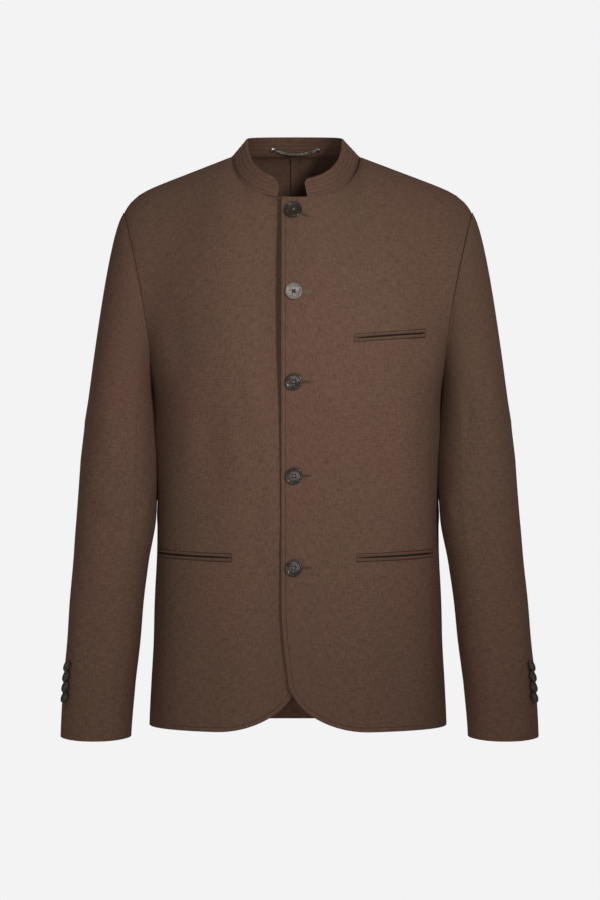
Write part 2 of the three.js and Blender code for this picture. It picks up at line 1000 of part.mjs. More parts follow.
function addPockets() {

	const { inner, outer } = chestPocket;
	const chestPlace = ( along, level ) => onFront( 1, lerp( inner, outer, along ), level );
	addWelts( 'chest_welt', chestPlace, chestPocket.innerLevel, chestPocket.outerLevel, 6 );
	for ( const [ word, side ] of sides ) {

		const { inner, outer } = sidePocketSpan[ word ];
		const place = ( along, level ) => bodyPoint( level, side * lerp( inner, outer, along ) );
		addWelts( `pocket_welt_${ word }`, place, sidePocket.innerLevel, sidePocket.outerLevel, 12 );

	}

}

function addFrontButtons() {

	const place = ( x, level ) => onFront( 1, x, level );
	frontButtonLevels.forEach( ( level, i ) => {

		const face = faceOf( place, centreFront, level );
		const tilt = i === 0 ? topButtonTilt : 0;
		const lift = frontButton.height / 2 + seamGap + frontButton.radius * backShare * Math.sin( tilt );
		const position = place( centreFront, level ).addScaledVector( face, lift );
		const mesh = placed( buttonGeometry( frontButton ), position, face, new THREE.Vector3( 0, 0, 1 ), tilt );
		add( `front_button_${ i + 1 }`, mesh, hornMaterial() );

	} );

}

function addCuffButtons() {

	const cuff = sleeveSections[ sleeveSections.length - 1 ].level;
	const upperArm = sleeveSections[ 0 ].level;
	for ( const [ word, side ] of sides ) {

		cuffButtonLevels.forEach( ( level, i ) => {

			const length = 1 + ( level - upperArm ) / ( cuff - upperArm );
			const here = sleevePoint( side, cuffButtonAngle, length );
			const along = sleevePoint( side, cuffButtonAngle + 0.05, length ).sub( here ).normalize();
			const down = sleevePoint( side, cuffButtonAngle, length + 0.02 ).sub( here ).normalize();
			const face = along.clone().cross( down ).normalize();
			if ( face.x * side < 0 ) face.negate();
			const position = here.addScaledVector( face, cuffButtonStandOff );
			const tilt = side * cuffButtonTilt;
			const mesh = placed( buttonGeometry( cuffButton ), position, face, along, tilt );
			add( `cuff_button_${ word }_${ i + 1 }`, mesh, hornMaterial() );

		} );

	}

}

// Inside face of the collar at the back, as a place across and up, moved off the cloth.
function insideCollar( x, height, standOff ) {

	const angle = Math.PI - Math.asin( Math.abs( x ) / neck.halfWidth );
	const point = collarPoint( x < 0 ? - 1 : 1, angle, height );
	return point.addScaledVector( collarInward( point ), collarThickness + standOff );

}

function addHanger() {

	for ( const [ word, side ] of sides ) {

		const centre = side * chain.halfSpan;
		const slant = collarTop.rise;
		const grid = [ - 0.5, 0.5 ].map( up => [ - 0.5, 0, 0.5 ].map( across => insideCollar(
			centre + across * chainPlate.width, chain.height + up * chainPlate.height / slant, chordAllowance ) ) );
		const geometry = wallGeometry( grid, collarInward, 1 );
		add( `hanger_plate_${ word }`, new THREE.Mesh( geometry ), metalMaterial() );

	}

	const reach = chain.halfSpan - chainPlate.width / 2 - seamGap;
	const points = [];
	for ( let i = 0; i <= 8; i ++ ) {

		const across = lerp( - reach, reach, i / 8 );
		const point = insideCollar( across, chain.height, chain.standOff );
		point.z -= chain.sag * ( 1 - ( across / reach ) ** 2 );
		point.y -= 1.5 * ( 1 - ( across / reach ) ** 2 );
		points.push( point );

	}

	const path = new THREE.CatmullRomCurve3( points );
	add( 'hanger_chain', new THREE.Mesh( tubeGeometry( path, chain.radius, 20, 8 ) ), metalMaterial() );

}

// Strips inside the back: the hem turned up, and the centre seam pressed open
function addInsideBack() {

	const inside = - clothThickness - seamGap;
	const hemGrid = [];
	for ( const share of [ 0, 0.5, 1 ] ) {

		const end = Math.PI - seamAngle( backSeamAngle, hemLevel ) + turnUp.ends;
		const row = [];
		for ( let i = 0; i <= turnUp.columns; i ++ ) {

			const angle = lerp( end, 2 * Math.PI - end, i / turnUp.columns );
			row.push( bodyPoint( hemAt( angle ) + turnUp.height * share, angle ) );

		}

		hemGrid.push( row );

	}

	addWall( 'back_hem_turn_up', hemGrid, bodyInward, turnUpThickness, inside - chordAllowance );
	const seamGrid = heights().slice( 1 ).map( height => {

		const centre = backPoint( 1, 0, backColumns( 1 )[ 0 ].top, height );
		return [ - 1, 0, 1 ].map( across => centre.clone().setX( centre.x + across * allowance.halfWidth ) );

	} );

	seamGrid[ seamGrid.length - 1 ].forEach( point => {

		point.z += allowance.top;

	} );
	addWall( 'centre_seam_allowance', seamGrid, bodyInward, turnUpThickness, inside - chordAllowance );

}

addBody();
addSleeves();
addCollar();
addPockets();
addFrontButtons();
addCuffButtons();
addHanger();
addInsideBack();

export default jacket;
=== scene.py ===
"""Looks of a man's stand-collar suit jacket, filled out as if worn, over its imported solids.

Shapes are worked out in millimetres, +Z up, front towards -Y, the wearer's left towards +X,
and become metres when a mesh is made.
"""
import math

import bpy
import numpy as np
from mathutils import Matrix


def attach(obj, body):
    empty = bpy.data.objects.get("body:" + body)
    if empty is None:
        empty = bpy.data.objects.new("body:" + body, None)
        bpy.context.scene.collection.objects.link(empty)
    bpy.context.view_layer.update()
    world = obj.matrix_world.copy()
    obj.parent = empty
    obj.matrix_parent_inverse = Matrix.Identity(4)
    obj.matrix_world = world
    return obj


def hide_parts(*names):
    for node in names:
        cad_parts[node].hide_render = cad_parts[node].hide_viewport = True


bl_info = {
    "name": "Stand-collar suit jacket",
    "version": (1, 0, 0),
    "blender": (4, 5, 0),
    "location": "3D View > Sidebar > Jacket",
    "description": "Builds a worn-shape wool jacket with horn buttons, topstitching and a hanger chain",
    "category": "Add Mesh",
}

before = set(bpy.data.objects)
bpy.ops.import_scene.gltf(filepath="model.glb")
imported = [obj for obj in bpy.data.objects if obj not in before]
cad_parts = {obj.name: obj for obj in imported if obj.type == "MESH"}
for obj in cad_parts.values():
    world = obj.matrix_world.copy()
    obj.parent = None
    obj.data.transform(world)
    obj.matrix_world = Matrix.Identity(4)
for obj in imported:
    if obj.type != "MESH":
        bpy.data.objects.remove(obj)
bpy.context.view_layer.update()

MM = 0.001
QUARTER = math.pi / 2
SIDES = (("left", 1), ("right", -1))

# Body sections from the hem up to the chest: level, half width, front depth, back depth
HEM_LEVEL = -708.5
BACK_HEM_DIP = 5.0
BODY_SECTIONS = [
    (-708.5, 185.5, 136, 143),
    (-654, 183, 136, 141),
    (-604, 180, 134, 137),
    (-554, 178, 132, 131),
    (-500, 176, 131, 125),
    (-454, 175.4, 131, 121),
    (-400, 174.6, 134, 123),
    (-350, 174.6, 138, 129),
    (-300, 177.5, 141, 134),
]
BODY_ROUNDNESS = 2 / 2.3
# Middle of the space inside the body that its inner face looks towards
BODY_MIDDLE_SHARE, BODY_MIDDLE_TOP = 0.6, -110
FRONT_SEAM_ANGLE = (math.radians(58), math.radians(73))
BACK_SEAM_ANGLE = (math.radians(62), math.radians(73))

# Armhole, neck and shoulders
ARMHOLE_LEVEL, ARMHOLE_HALF_HEIGHT = -182.0, 112.0
ARMHOLE_DEPTH, ARMHOLE_HALF_DEPTH = -1.0, 62.0
ARMHOLE_OUT, ARMHOLE_LEAN, ARMHOLE_BEND = 180.0, 37.0, 1.7
ARMHOLE_CORNER = math.radians(130)
NECK_SHIFT, NECK_HALF_WIDTH, NECK_FRONT, NECK_BACK = -3.0, 80.0, 92.0, 62.0
NECK_DROP, NECK_RISE, NECK_BEND = 57.0, 7.0, 0.8
SHOULDER_SLOPE, SHOULDER_TIP_DROP, SHOULDER_TIP_BEND = 0.385, 17.6, 12
NECK_SHARE, PLACKET_SHARE, BACK_NECK_SHARE = 0.44, 0.132, 0.4
CORNER_EASE = 2
BACK_ROUNDING = 0.45
ARMHOLE_DRAW, UNDERARM_DRAW, CHEST_SINK = 5, 6, 1.5

# Front edges, either side of the centre front
CENTRE_FRONT, OVERLAP = -5.0, 15.5
COLLAR_SET_BACK = {1: 16.5, -1: 20.5}
TUCK_DEPTH, TUCK_FROM, TUCK_TO = 6.5, -88.0, -24.0
CUTAWAY_TOP, CUTAWAY_LEVEL, CUTAWAY_REACH = -540.0, -640.0, 102.0
CUTAWAY_SHIFT, CUTAWAY_UNDER_SHIFT = 8.0, 11.0

# Stand collar
COLLAR_SHIFT, COLLAR_HALF_WIDTH, COLLAR_FRONT, COLLAR_BACK = -4.0, 60.0, 79.0, 51.0
COLLAR_RISE = 22.5
COLLAR_CORNER = {1: (9.0, 9.0), -1: (19.0, 17.0)}
COLLAR_SEAM_LAP = 0.9
COLLAR_HEIGHT, COLLAR_RADIUS = 24.5, 75
COLLAR_ROW_STEP, COLLAR_STEP = 2.0, 2.2
COLLAR_STITCH_LEVELS = (4.6, 9.6, 14.6, 19.4)
GROOVE_DEPTH, GROOVE_HALF_WIDTH = 0.7, 0.9

# Wearer's left sleeve from below the armhole to the cuff: level, place across, depth,
# half width, half depth
SLEEVE_SECTIONS = [
    (-330, 221.4, -5, 43.9, 66),
    (-379, 222.6, -14, 46.9, 64.5),
    (-454, 226, -24, 49.4, 61),
    (-504, 232.4, -28, 46.8, 58),
    (-554, 237.8, -33, 46, 56),
    (-604, 241.8, -38, 45.3, 53.5),
    (-654, 247.2, -43, 44.7, 51.5),
    (-722, 251.3, -50, 43.6, 49),
]
SLEEVE_ROUNDNESS = 2 / 2.25
SLEEVE_FRONT_SEAM = math.radians(118)
SLEEVE_BACK_SEAM, BACK_SEAM_TURN = (math.radians(-62), math.radians(-28)), 1.6
UPPER_ARM, CUFF = -330.0, -722.0
CUFF_RISE = 2.5
CUFF_LEAN, LEAN_FROM = 2, -400
# Slopes of the sleeve head where it leaves the armhole and where it meets the upper arm
HEAD_OUT, HEAD_FULLNESS, HEAD_FORWARD, HEAD_DROP, HEAD_TIP_DROP, ARM_OUT = 28, 24, 22, 40, 5, 36
ARMHOLE_MIDDLE, ARMHOLE_INWARD_TOP, ARMHOLE_INWARD_RISE = 201, -150, 180

# Mean width and height of each kind of panel, which set the number of its faces
FRONT_SIZE, BACK_SIZE, SIDE_SIZE, SLEEVE_SIZE = (190, 720), (190, 730), (115, 450), (165, 660)

# Pockets and buttons
CHEST_POCKET = {"inner_level": -231.0, "outer_level": -223.5, "length": 88}
CHEST_POCKET_SPAN = (68.0, 156.0)
SIDE_POCKET = {"inner_level": -497.0, "outer_level": -493.0, "length": 150}
SIDE_POCKET_SPAN = {
    1: (math.radians(20.7), math.radians(69.5)),
    -1: (math.radians(24.1), math.radians(79)),
}
WELT_TOP, WELT_MOUTH, WELT_THICKNESS = 4.65, 1.6, 1.2
WELT_CROWN, WELT_CROWN_FALL = 1.5, 1.2
# Pocket lining strips in the welt mouths; their near-black colour is painted shade for the shadow inside
# the mouths
LINING_THICKNESS, LINING_SINK, LINING_LAP, LINING_END = 0.4, 0.7, 0.6, 2
FRONT_BUTTON_LEVELS = (-74.0, -174.5, -284.0, -397.5, -509.0)
FRONT_BUTTON_SPINS = (0.06, -0.1, 0.04, -0.05, 0.12)
TOP_BUTTON_TILT, TILT_LIFT = math.radians(9), 0.72
BUTTON_GAP = 0.3
CUFF_BUTTON_LEVELS = (-632.0, -644.8, -657.6, -670.4)
CUFF_BUTTON_TILT = math.radians(14.5)
CUFF_BUTTON_ANGLE = math.radians(35)
CUFF_BUTTON_STAND_OFF, CUFF_BUTTON_SPIN = 2.95, 0.3
# Thickness, width of the rolled rim, depth of the dish and of the thread's seat, radius of a
# hole and its distance from the middle
FRONT_BUTTON = {"height": 3.4, "rim": 2.2, "dish": 0.9, "seat": 1.35, "hole": 0.95, "spread": 2.1}
CUFF_BUTTON = {"height": 2.5, "rim": 1.7, "dish": 0.6, "seat": 0.95, "hole": 0.75, "spread": 1.6}
THREAD_RADIUS, SHANK_RADIUS = 0.23, 1.3

# Inside the back, and the hanger chain
TURN_UP_WIDTH, TURN_UP_HEIGHT, TURN_UP_REACH = 310, 24, math.radians(12)
ALLOWANCE_WIDTH, ALLOWANCE_LENGTH, ALLOWANCE_SPAN = 12, 650, (0.085, 1.98)
INSIDE_THICKNESS = 1.0
PLATE_WIDTH, PLATE_HEIGHT = 7.0, 5.0
CHAIN_HALF_SPAN, CHAIN_HEIGHT, CHAIN_STAND_OFF = 31.6, 0.28, 2.2
CHAIN_LAP, CHAIN_FORWARD, CHAIN_SAG = 1.2, 1.5, 5.5
# The end plate's rings, as share of its size and distance from the collar
PLATE_RINGS = ((0.96, 0.35), (1.0, 0.6), (1.0, 1.15), (0.93, 1.5), (0.4, 1.5))

# Floor, in millimetres
FLOOR_RADIUS, FLOOR_THICKNESS, FLOOR_LEVEL = 2600, 20, -1320

# Camera and lights, in metres
CAMERA_PLACE, LENS, SENSOR_WIDTH = (0.0025, -4.0, -0.36625), 128, 36
KEY_PLACE, KEY_AIM, KEY_SOFTNESS, KEY_NARROWING = (1.42, -2.95, 0.62), (0.02, -0.1, -0.22), 0.3, 0.58
FILL_PLACE, FILL_AIM, FILL_SIZE, FILL_SHARE = (-0.5, -2.6, -1.1), (0.0, 0.0, -0.6), 1.6, 0.07

# Soft creases: from (across, level) to (across, level), half width and depth; + stands out
FRONT_CREASES = {
    1: [
        (20, -298, 88, -330, 15, 1.7), (18, -286, 62, -276, 9, 0.9),
        (22, -405, 95, -378, 13, 1.4), (20, -392, 58, -384, 8, -1.1), (24, -418, 120, -460, 18, 1.3),
        (18, -520, 80, -546, 16, 1.4), (20, -504, 60, -497, 8, -0.9),
        (104, -300, 96, -452, 22, -2.2), (132, -262, 122, -420, 18, 1.8), (60, -330, 66, -470, 20, 1.2),
        (128, -446, 140, -560, 20, -1.6), (70, -540, 92, -690, 26, 1.7), (116, -580, 122, -700, 20, -1.3),
        (150, -180, 146, -286, 14, -2.0), (60, -120, 120, -150, 24, 1.0), (8, -560, 26, -680, 12, 1.0),
        (90, -190, 30, -215, 18, 0.8),
    ],
    -1: [
        (-30, -300, -96, -340, 15, 1.5), (-34, -410, -84, -384, 12, 1.2), (-28, -425, -44, -520, 14, 1.6),
        (-104, -290, -112, -452, 20, -2.4), (-72, -300, -60, -440, 18, 1.7),
        (-134, -262, -128, -430, 17, 1.7), (-90, -438, -100, -540, 20, -1.3),
        (-34, -520, -84, -556, 16, 1.4), (-60, -560, -66, -690, 24, 1.5),
        (-110, -570, -116, -700, 22, -1.5), (-150, -180, -146, -286, 14, -2.0),
        (-60, -120, -118, -150, 24, 1.0),
        (-36, -440, -22, -520, 10, -1.0), (-84, -196, -40, -230, 20, 0.9),
        (-60, -258, -34, -408, 11, 1.8), (-80, -268, -56, -404, 13, -1.3),
        (-30, 20, -29, -330, 11, -9.0), (-30, -320, -30, -545, 14, 2.6), (-30, -560, -36, -720, 12, -2.4),
    ],
}
BACK_CREASES = [
    (-120, -60, -64, -112, 18, 1.6), (118, -58, 70, -104, 17, 1.5), (-134, -170, -126, -300, 15, -2.2),
    (132, -176, 128, -290, 15, -2.0), (-60, -350, -22, -420, 20, 1.8), (64, -360, 18, -424, 18, 1.7),
    (-84, -384, -34, -404, 12, -1.6), (80, -392, 30, -414, 11, -1.5), (-26, -440, -70, -560, 22, 1.9),
    (30, -446, 84, -570, 24, 1.7), (-108, -470, -118, -640, 22, -1.7), (112, -480, 120, -650, 20, -1.6),
    (-50, -560, -46, -700, 24, 1.5), (54, -580, 60, -702, 22, 1.4), (-30, -30, 28, -36, 14, 0.9),
]
SIDE_CREASES = [
    (-30, -300, -10, -420, 12, 1.6), (18, -310, 26, -440, 12, -1.7), (-6, -430, 30, -470, 12, 1.3),
    (-24, -480, -34, -640, 14, 1.5), (22, -500, 34, -680, 15, -1.5),
    (-12, -210, -14, -430, 24, 1.7), (-20, -325, -24, -450, 24, 0.9),
]
# Sleeve creases run over (degrees round from the outside, level)
SLEEVE_CREASES = [
    (60, -392, 112, -420, 11, -2.3), (50, -418, 104, -446, 10, 1.7), (66, -452, 118, -474, 10, -1.8),
    (38, -470, 96, -508, 13, 1.4), (78, -300, 70, -392, 14, 1.7), (110, -282, 100, -372, 12, -1.9),
    (30, -250, 24, -380, 15, -1.2), (0, -300, -8, -440, 15, 1.2), (-30, -440, -64, -462, 11, 1.8),
    (-26, -470, -70, -480, 10, -1.7), (-150, -330, -120, -420, 13, -2.0), (-110, -340, -96, -450, 14, 1.7),
    (40, -540, 52, -660, 15, 1.2), (84, -530, 74, -640, 14, -1.3), (-60, -520, -54, -640, 13, 1.3),
    (150, -420, 124, -462, 11, 1.9), (-170, -520, -150, -620, 13, -1.4), (110, -600, 104, -700, 12, 1.1),
    (180, -210, 180, -430, 26, 2.0), (-180, -210, -180, -430, 26, 2.0),
    (180, -325, 180, -450, 24, 1.05), (-180, -325, -180, -450, 24, 1.05),
]


# Settings

class JacketSettings(bpy.types.PropertyGroup):
    """Sizes and colours that a user would change."""

    cloth_thickness: bpy.props.FloatProperty(
        name="Cloth", description="Thickness of the wool walls", default=0.002, unit="LENGTH")
    collar_thickness: bpy.props.FloatProperty(
        name="Collar", description="Thickness of the stand collar", default=0.0024, unit="LENGTH")
    mesh_step: bpy.props.FloatProperty(
        name="Mesh step", description="Side of the cloth's faces", default=0.0042, unit="LENGTH")
    crease_depth: bpy.props.FloatProperty(
        name="Crease depth", description="Multiplies the depth of every soft crease", default=1.25)
    wool_dark: bpy.props.FloatVectorProperty(
        name="Dark yarn", description="Colour of the dark fibres", subtype="COLOR",
        default=(0.048, 0.0262, 0.0180))
    wool_light: bpy.props.FloatVectorProperty(
        name="Light yarn", description="Colour of the light fibres", subtype="COLOR",
        default=(0.176, 0.0958, 0.0678))
    yarn_pitch: bpy.props.FloatProperty(
        name="Yarn pitch", description="Distance between two yarns of the weave", default=0.0005,
        unit="LENGTH")
    stitch_length: bpy.props.FloatProperty(
        name="Stitch", description="Length of a topstitch", default=0.0024, unit="LENGTH")
    stitch_gap: bpy.props.FloatProperty(
        name="Stitch gap", description="Cloth between two topstitches", default=0.0008, unit="LENGTH")
    stitch_inset: bpy.props.FloatProperty(
        name="Stitch inset", description="Topstitching's distance from an edge", default=0.0056,
        unit="LENGTH")
    topstitch_colour: bpy.props.FloatVectorProperty(
        name="Topstitch", description="Colour of the topstitching thread", subtype="COLOR",
        default=(0.030, 0.017, 0.012))
    buttonhole_colour: bpy.props.FloatVectorProperty(
        name="Buttonhole thread", description="Colour of the buttonhole silk", subtype="COLOR",
        default=(0.15, 0.112, 0.076))
    button_thread_colour: bpy.props.FloatVectorProperty(
        name="Button thread", description="Colour of the thread that holds the buttons", subtype="COLOR",
        default=(0.17, 0.125, 0.095))
    dark_thread_colour: bpy.props.FloatVectorProperty(
        name="Dark thread", description="Colour of the second front button's thread", subtype="COLOR",
        default=(0.035, 0.022, 0.016))
    matched_thread_colour: bpy.props.FloatVectorProperty(
        name="Matched thread", description="Colour of the buttonholes that match the cloth",
        subtype="COLOR", default=(0.092, 0.054, 0.039))
    # The pocket lining's near-black colour is painted shade, standing in for the shadow in the pocket
    # mouths
    lining_colour: bpy.props.FloatVectorProperty(
        name="Pocket lining", description="Colour of the lining in the pocket mouths", subtype="COLOR",
        default=(0.010, 0.007, 0.006))
    front_button_radius: bpy.props.FloatProperty(
        name="Front button", description="Radius of a front button", default=0.0103, unit="LENGTH")
    cuff_button_radius: bpy.props.FloatProperty(
        name="Cuff button", description="Radius of a cuff button", default=0.0074, unit="LENGTH")
    horn_dark: bpy.props.FloatVectorProperty(
        name="Dark horn", description="Ground colour of the horn", subtype="COLOR",
        default=(0.010, 0.0068, 0.0055))
    horn_light: bpy.props.FloatVectorProperty(
        name="Light horn", description="Streaks and rim of the horn", subtype="COLOR",
        default=(0.058, 0.039, 0.028))
    horn_grey: bpy.props.FloatVectorProperty(
        name="Grey horn", description="Ground colour of the second front button", subtype="COLOR",
        default=(0.13, 0.116, 0.104))
    horn_pale: bpy.props.FloatVectorProperty(
        name="Pale horn", description="Cloudy streaks of the second front button", subtype="COLOR",
        default=(0.29, 0.262, 0.225))
    metal: bpy.props.FloatVectorProperty(
        name="Chain metal", description="Colour of the hanger chain", subtype="COLOR",
        default=(0.6, 0.585, 0.555))
    backdrop: bpy.props.FloatProperty(
        name="Backdrop", description="Brightness of the background that the camera sees", default=0.896)
    ambient: bpy.props.FloatProperty(
        name="Ambient light", description="Brightness of the light from all round", default=0.30)
    key_power: bpy.props.FloatProperty(
        name="Key light", description="Power of the large soft light in watts", default=370.0)
    key_angle: bpy.props.FloatProperty(
        name="Key angle", description="Width of the key light's soft beam", subtype="ANGLE",
        default=math.radians(21.5))


# Shape functions, on arrays

def lerp(a, b, t):
    return a + (b - a) * t


def smooth(t):
    s = np.clip(t, 0, 1)
    return s * s * (3 - 2 * s)


def signed_power(value, power):
    return np.sign(value) * np.abs(value) ** power


def hermite(start, end, slope_start, slope_end, t):
    t2, t3 = t * t, t * t * t
    return ((2 * t3 - 3 * t2 + 1) * start + (t3 - 2 * t2 + t) * slope_start
            + (-2 * t3 + 3 * t2) * end + (t3 - t2) * slope_end)


def points(x, y, z):
    return np.stack(np.broadcast_arrays(x, y, z), axis=-1).astype(float)


def section_at(table, level):
    """Smooth values between a table's rows, one array for each column after the level."""
    rows = np.array(sorted(table), dtype=float)
    level = np.asarray(level, dtype=float)
    k = np.clip(np.searchsorted(rows[:, 0], level, side="right") - 1, 0, len(rows) - 2)
    t = (level - rows[k, 0]) / (rows[k + 1, 0] - rows[k, 0])
    last = len(rows) - 1
    found = []
    for column in range(1, rows.shape[1]):
        def at(i):
            return rows[np.clip(i, 0, last), column]
        slope_start, slope_end = (at(k + 1) - at(k - 1)) / 2, (at(k + 2) - at(k)) / 2
        found.append(hermite(at(k), at(k + 1), slope_start, slope_end, t))
    return found


def armhole_point(side, angle):
    """Armhole seam; angle 0 is the shoulder tip, 90 degrees the front, 180 the underarm."""
    height = (1 + np.cos(angle)) / 2
    return points(side * (ARMHOLE_OUT + ARMHOLE_LEAN * height ** ARMHOLE_BEND),
                  ARMHOLE_DEPTH - ARMHOLE_HALF_DEPTH * np.sin(angle),
                  ARMHOLE_LEVEL + ARMHOLE_HALF_HEIGHT * np.cos(angle))


FRONT_CORNER = armhole_point(1, ARMHOLE_CORNER)
BACK_CORNER = armhole_point(1, -ARMHOLE_CORNER)
SHOULDER_TIP = armhole_point(1, 0.0)
CHEST_LEVEL = float(FRONT_CORNER[2])
SECTIONS = BODY_SECTIONS + [(
    CHEST_LEVEL,
    FRONT_CORNER[0] / math.sin(FRONT_SEAM_ANGLE[1]) ** BODY_ROUNDNESS,
    -FRONT_CORNER[1] / math.cos(FRONT_SEAM_ANGLE[1]) ** BODY_ROUNDNESS,
    BACK_CORNER[1] / math.cos(BACK_SEAM_ANGLE[1]) ** BODY_ROUNDNESS,
)]


def body_point(level, angle):
    """Body at a level; angle 0 is the centre front, 90 degrees the wearer's left side."""
    half_width, front, back = section_at(SECTIONS, level)
    facing = np.cos(angle)
    depth = np.where(facing > 0, front, back)
    return points(half_width * signed_power(np.sin(angle), BODY_ROUNDNESS),
                  -depth * signed_power(facing, BODY_ROUNDNESS), level)


def angle_across(level, x):
    return np.arcsin(signed_power(x / section_at(SECTIONS, level)[0], 1 / BODY_ROUNDNESS))


def hem_at(angle):
    return HEM_LEVEL - BACK_HEM_DIP * np.maximum(0, -np.cos(angle))


def seam_angle(seam, level):
    return lerp(seam[0], seam[1], (level - HEM_LEVEL) / (CHEST_LEVEL - HEM_LEVEL))


def tucked(side, place):
    """The wearer's right front passes under the left one, so it steps in near the closure."""
    if side > 0:
        return place
    step = TUCK_DEPTH * smooth((place[..., 0] - TUCK_FROM) / (TUCK_TO - TUCK_FROM))
    place[..., 1] += np.where(place[..., 1] > 0, 0, step)
    return place


def neck_point(side, angle):
    """Neck seam; angle 0 is the centre front, 90 degrees a neck point, 180 the back."""
    facing = np.cos(angle)
    forward = facing > 0
    return tucked(side, points(
        NECK_SHIFT + side * NECK_HALF_WIDTH * np.sin(angle),
        -np.where(forward, NECK_FRONT, NECK_BACK) * facing,
        np.where(forward, -NECK_DROP, NECK_RISE) * np.abs(facing) ** NECK_BEND))


def shoulder_point(side, share):
    start = NECK_SHIFT + side * NECK_HALF_WIDTH
    x = lerp(start, side * SHOULDER_TIP[0], share)
    fall = SHOULDER_SLOPE * np.abs(x - start) + SHOULDER_TIP_DROP * share ** SHOULDER_TIP_BEND
    whole = SHOULDER_SLOPE * abs(side * SHOULDER_TIP[0] - start) + SHOULDER_TIP_DROP
    return points(x, ARMHOLE_DEPTH * share, SHOULDER_TIP[2] * fall / whole)


def upper_point(foot, top, rise, rounding):
    """Column above the chest, from the chest section up to the neck or shoulder seam."""
    arc = 1 - np.sqrt(np.maximum(0, 1 - rise * rise))
    inward = lerp(rise ** CHEST_SINK, arc, rounding)
    return points(lerp(foot[..., 0], top[..., 0], rise ** ARMHOLE_BEND),
                  lerp(foot[..., 1], top[..., 1], inward),
                  lerp(foot[..., 2], top[..., 2], rise))


def drawn_to_armhole(place, side, towards, across, rise):
    """Columns near the armhole are drawn over to its seam."""
    corner = armhole_point(side, towards * ARMHOLE_CORNER)
    edge = upper_point(corner, armhole_point(side, 0.0), rise, 1.0)
    share = np.clip((edge[..., 2] - ARMHOLE_LEVEL) / ARMHOLE_HALF_HEIGHT, -1, 1)
    seam = armhole_point(side, towards * np.arccos(share))
    return place + (seam - edge) * (across ** ARMHOLE_DRAW)[..., None]


def front_edge_x(side, level):
    below = np.clip((CUTAWAY_TOP - level) / (CUTAWAY_TOP - CUTAWAY_LEVEL), 0, 1)
    shift = CUTAWAY_SHIFT if side > 0 else CUTAWAY_UNDER_SHIFT
    return CENTRE_FRONT - side * OVERLAP + side * shift * below ** 2


def front_hem(side, x):
    """Lower edge of a front: level at the side, rising round the front corner."""
    corner = front_edge_x(side, CUTAWAY_LEVEL)
    share = np.clip(1 - side * (x - corner) / CUTAWAY_REACH, 0, 1)
    return lerp(HEM_LEVEL, CUTAWAY_LEVEL, 1 - np.sqrt(1 - share * share))


def neck_angle(side, x):
    return math.asin(side * (x - NECK_SHIFT) / NECK_HALF_WIDTH)


def collar_end_angle(side):
    return neck_angle(side, CENTRE_FRONT + side * COLLAR_SET_BACK[side])


def neck_then_shoulder(side, across, neck_share, angle):
    """Upper ends of a panel's columns: on the neck seam up to a share, then on the shoulder."""
    share = np.clip((across - neck_share) / (1 - neck_share), 0, 1) ** CORNER_EASE
    on_neck = (across < neck_share)[..., None]
    return np.where(on_neck, neck_point(side, angle), shoulder_point(side, share))


def above_chest(side, towards, across, height, lower, chest, tops, rounding):
    """A panel's places: those below the chest as given, and those above drawn up to the tops."""
    rise = np.sin((np.maximum(height, 1) - 1) * QUARTER)
    upper = upper_point(chest, tops, rise, rounding)
    upper = drawn_to_armhole(upper, side, towards, across, rise)
    return np.where((height <= 1)[..., None], lower, upper)


def front_tops(side, across):
    """Upper ends of a front's columns: placket, neck seam, then shoulder."""
    edge = neck_angle(side, CENTRE_FRONT - side * OVERLAP)
    end = collar_end_angle(side)
    placket = np.clip(across / PLACKET_SHARE, 0, 1)
    along = np.clip((across - PLACKET_SHARE) / (NECK_SHARE - PLACKET_SHARE), 0, 1)
    angle = np.where(across < PLACKET_SHARE, lerp(edge, end, placket),
                     lerp(end, QUARTER, 1 - (1 - along) ** CORNER_EASE))
    return neck_then_shoulder(side, across, NECK_SHARE, angle)


def front_point(side, across, height):
    """Front panel; height 0 to 1 runs from the hem to the chest, 1 to 2 on up to the top edge."""
    across, height = np.broadcast_arrays(np.asarray(across, float), np.asarray(height, float))

    def angle_at(level):
        return lerp(angle_across(level, front_edge_x(side, level)),
                    side * seam_angle(FRONT_SEAM_ANGLE, level), across)

    foot = body_point(HEM_LEVEL, angle_at(HEM_LEVEL))
    level = lerp(front_hem(side, foot[..., 0]), CHEST_LEVEL, np.minimum(height, 1))
    lower = tucked(side, body_point(level, angle_at(level)))
    chest = tucked(side, body_point(CHEST_LEVEL, angle_at(CHEST_LEVEL)))
    return above_chest(side, 1, across, height, lower, chest, front_tops(side, across),
                       smooth(across / NECK_SHARE))


def back_tops(side, across):
    along = np.clip(across / BACK_NECK_SHARE, 0, 1)
    angle = lerp(math.pi, QUARTER, 1 - (1 - along) ** CORNER_EASE)
    return neck_then_shoulder(side, across, BACK_NECK_SHARE, angle)


def back_point(side, across, height):
    across, height = np.broadcast_arrays(np.asarray(across, float), np.asarray(height, float))

    def angle_at(level):
        centre = math.pi - side * angle_across(level, NECK_SHIFT)
        return side * lerp(centre, math.pi - seam_angle(BACK_SEAM_ANGLE, level), across)

    level = lerp(hem_at(angle_at(HEM_LEVEL)), CHEST_LEVEL, np.minimum(height, 1))
    lower = body_point(level, angle_at(level))
    chest = body_point(CHEST_LEVEL, angle_at(CHEST_LEVEL))
    return above_chest(side, -1, across, height, lower, chest, back_tops(side, across),
                       lerp(BACK_ROUNDING, 1, smooth(across / BACK_NECK_SHARE)))


def side_point(side, across, height):
    top = armhole_point(side, lerp(ARMHOLE_CORNER, 2 * math.pi - ARMHOLE_CORNER, across))

    def angle_at(level):
        return side * lerp(seam_angle(FRONT_SEAM_ANGLE, level),
                           math.pi - seam_angle(BACK_SEAM_ANGLE, level), across)

    level = lerp(hem_at(angle_at(HEM_LEVEL)), top[..., 2], height)
    miss = top - body_point(top[..., 2], angle_at(top[..., 2]))
    return body_point(level, angle_at(level)) + miss * (height ** UNDERARM_DRAW)[..., None]


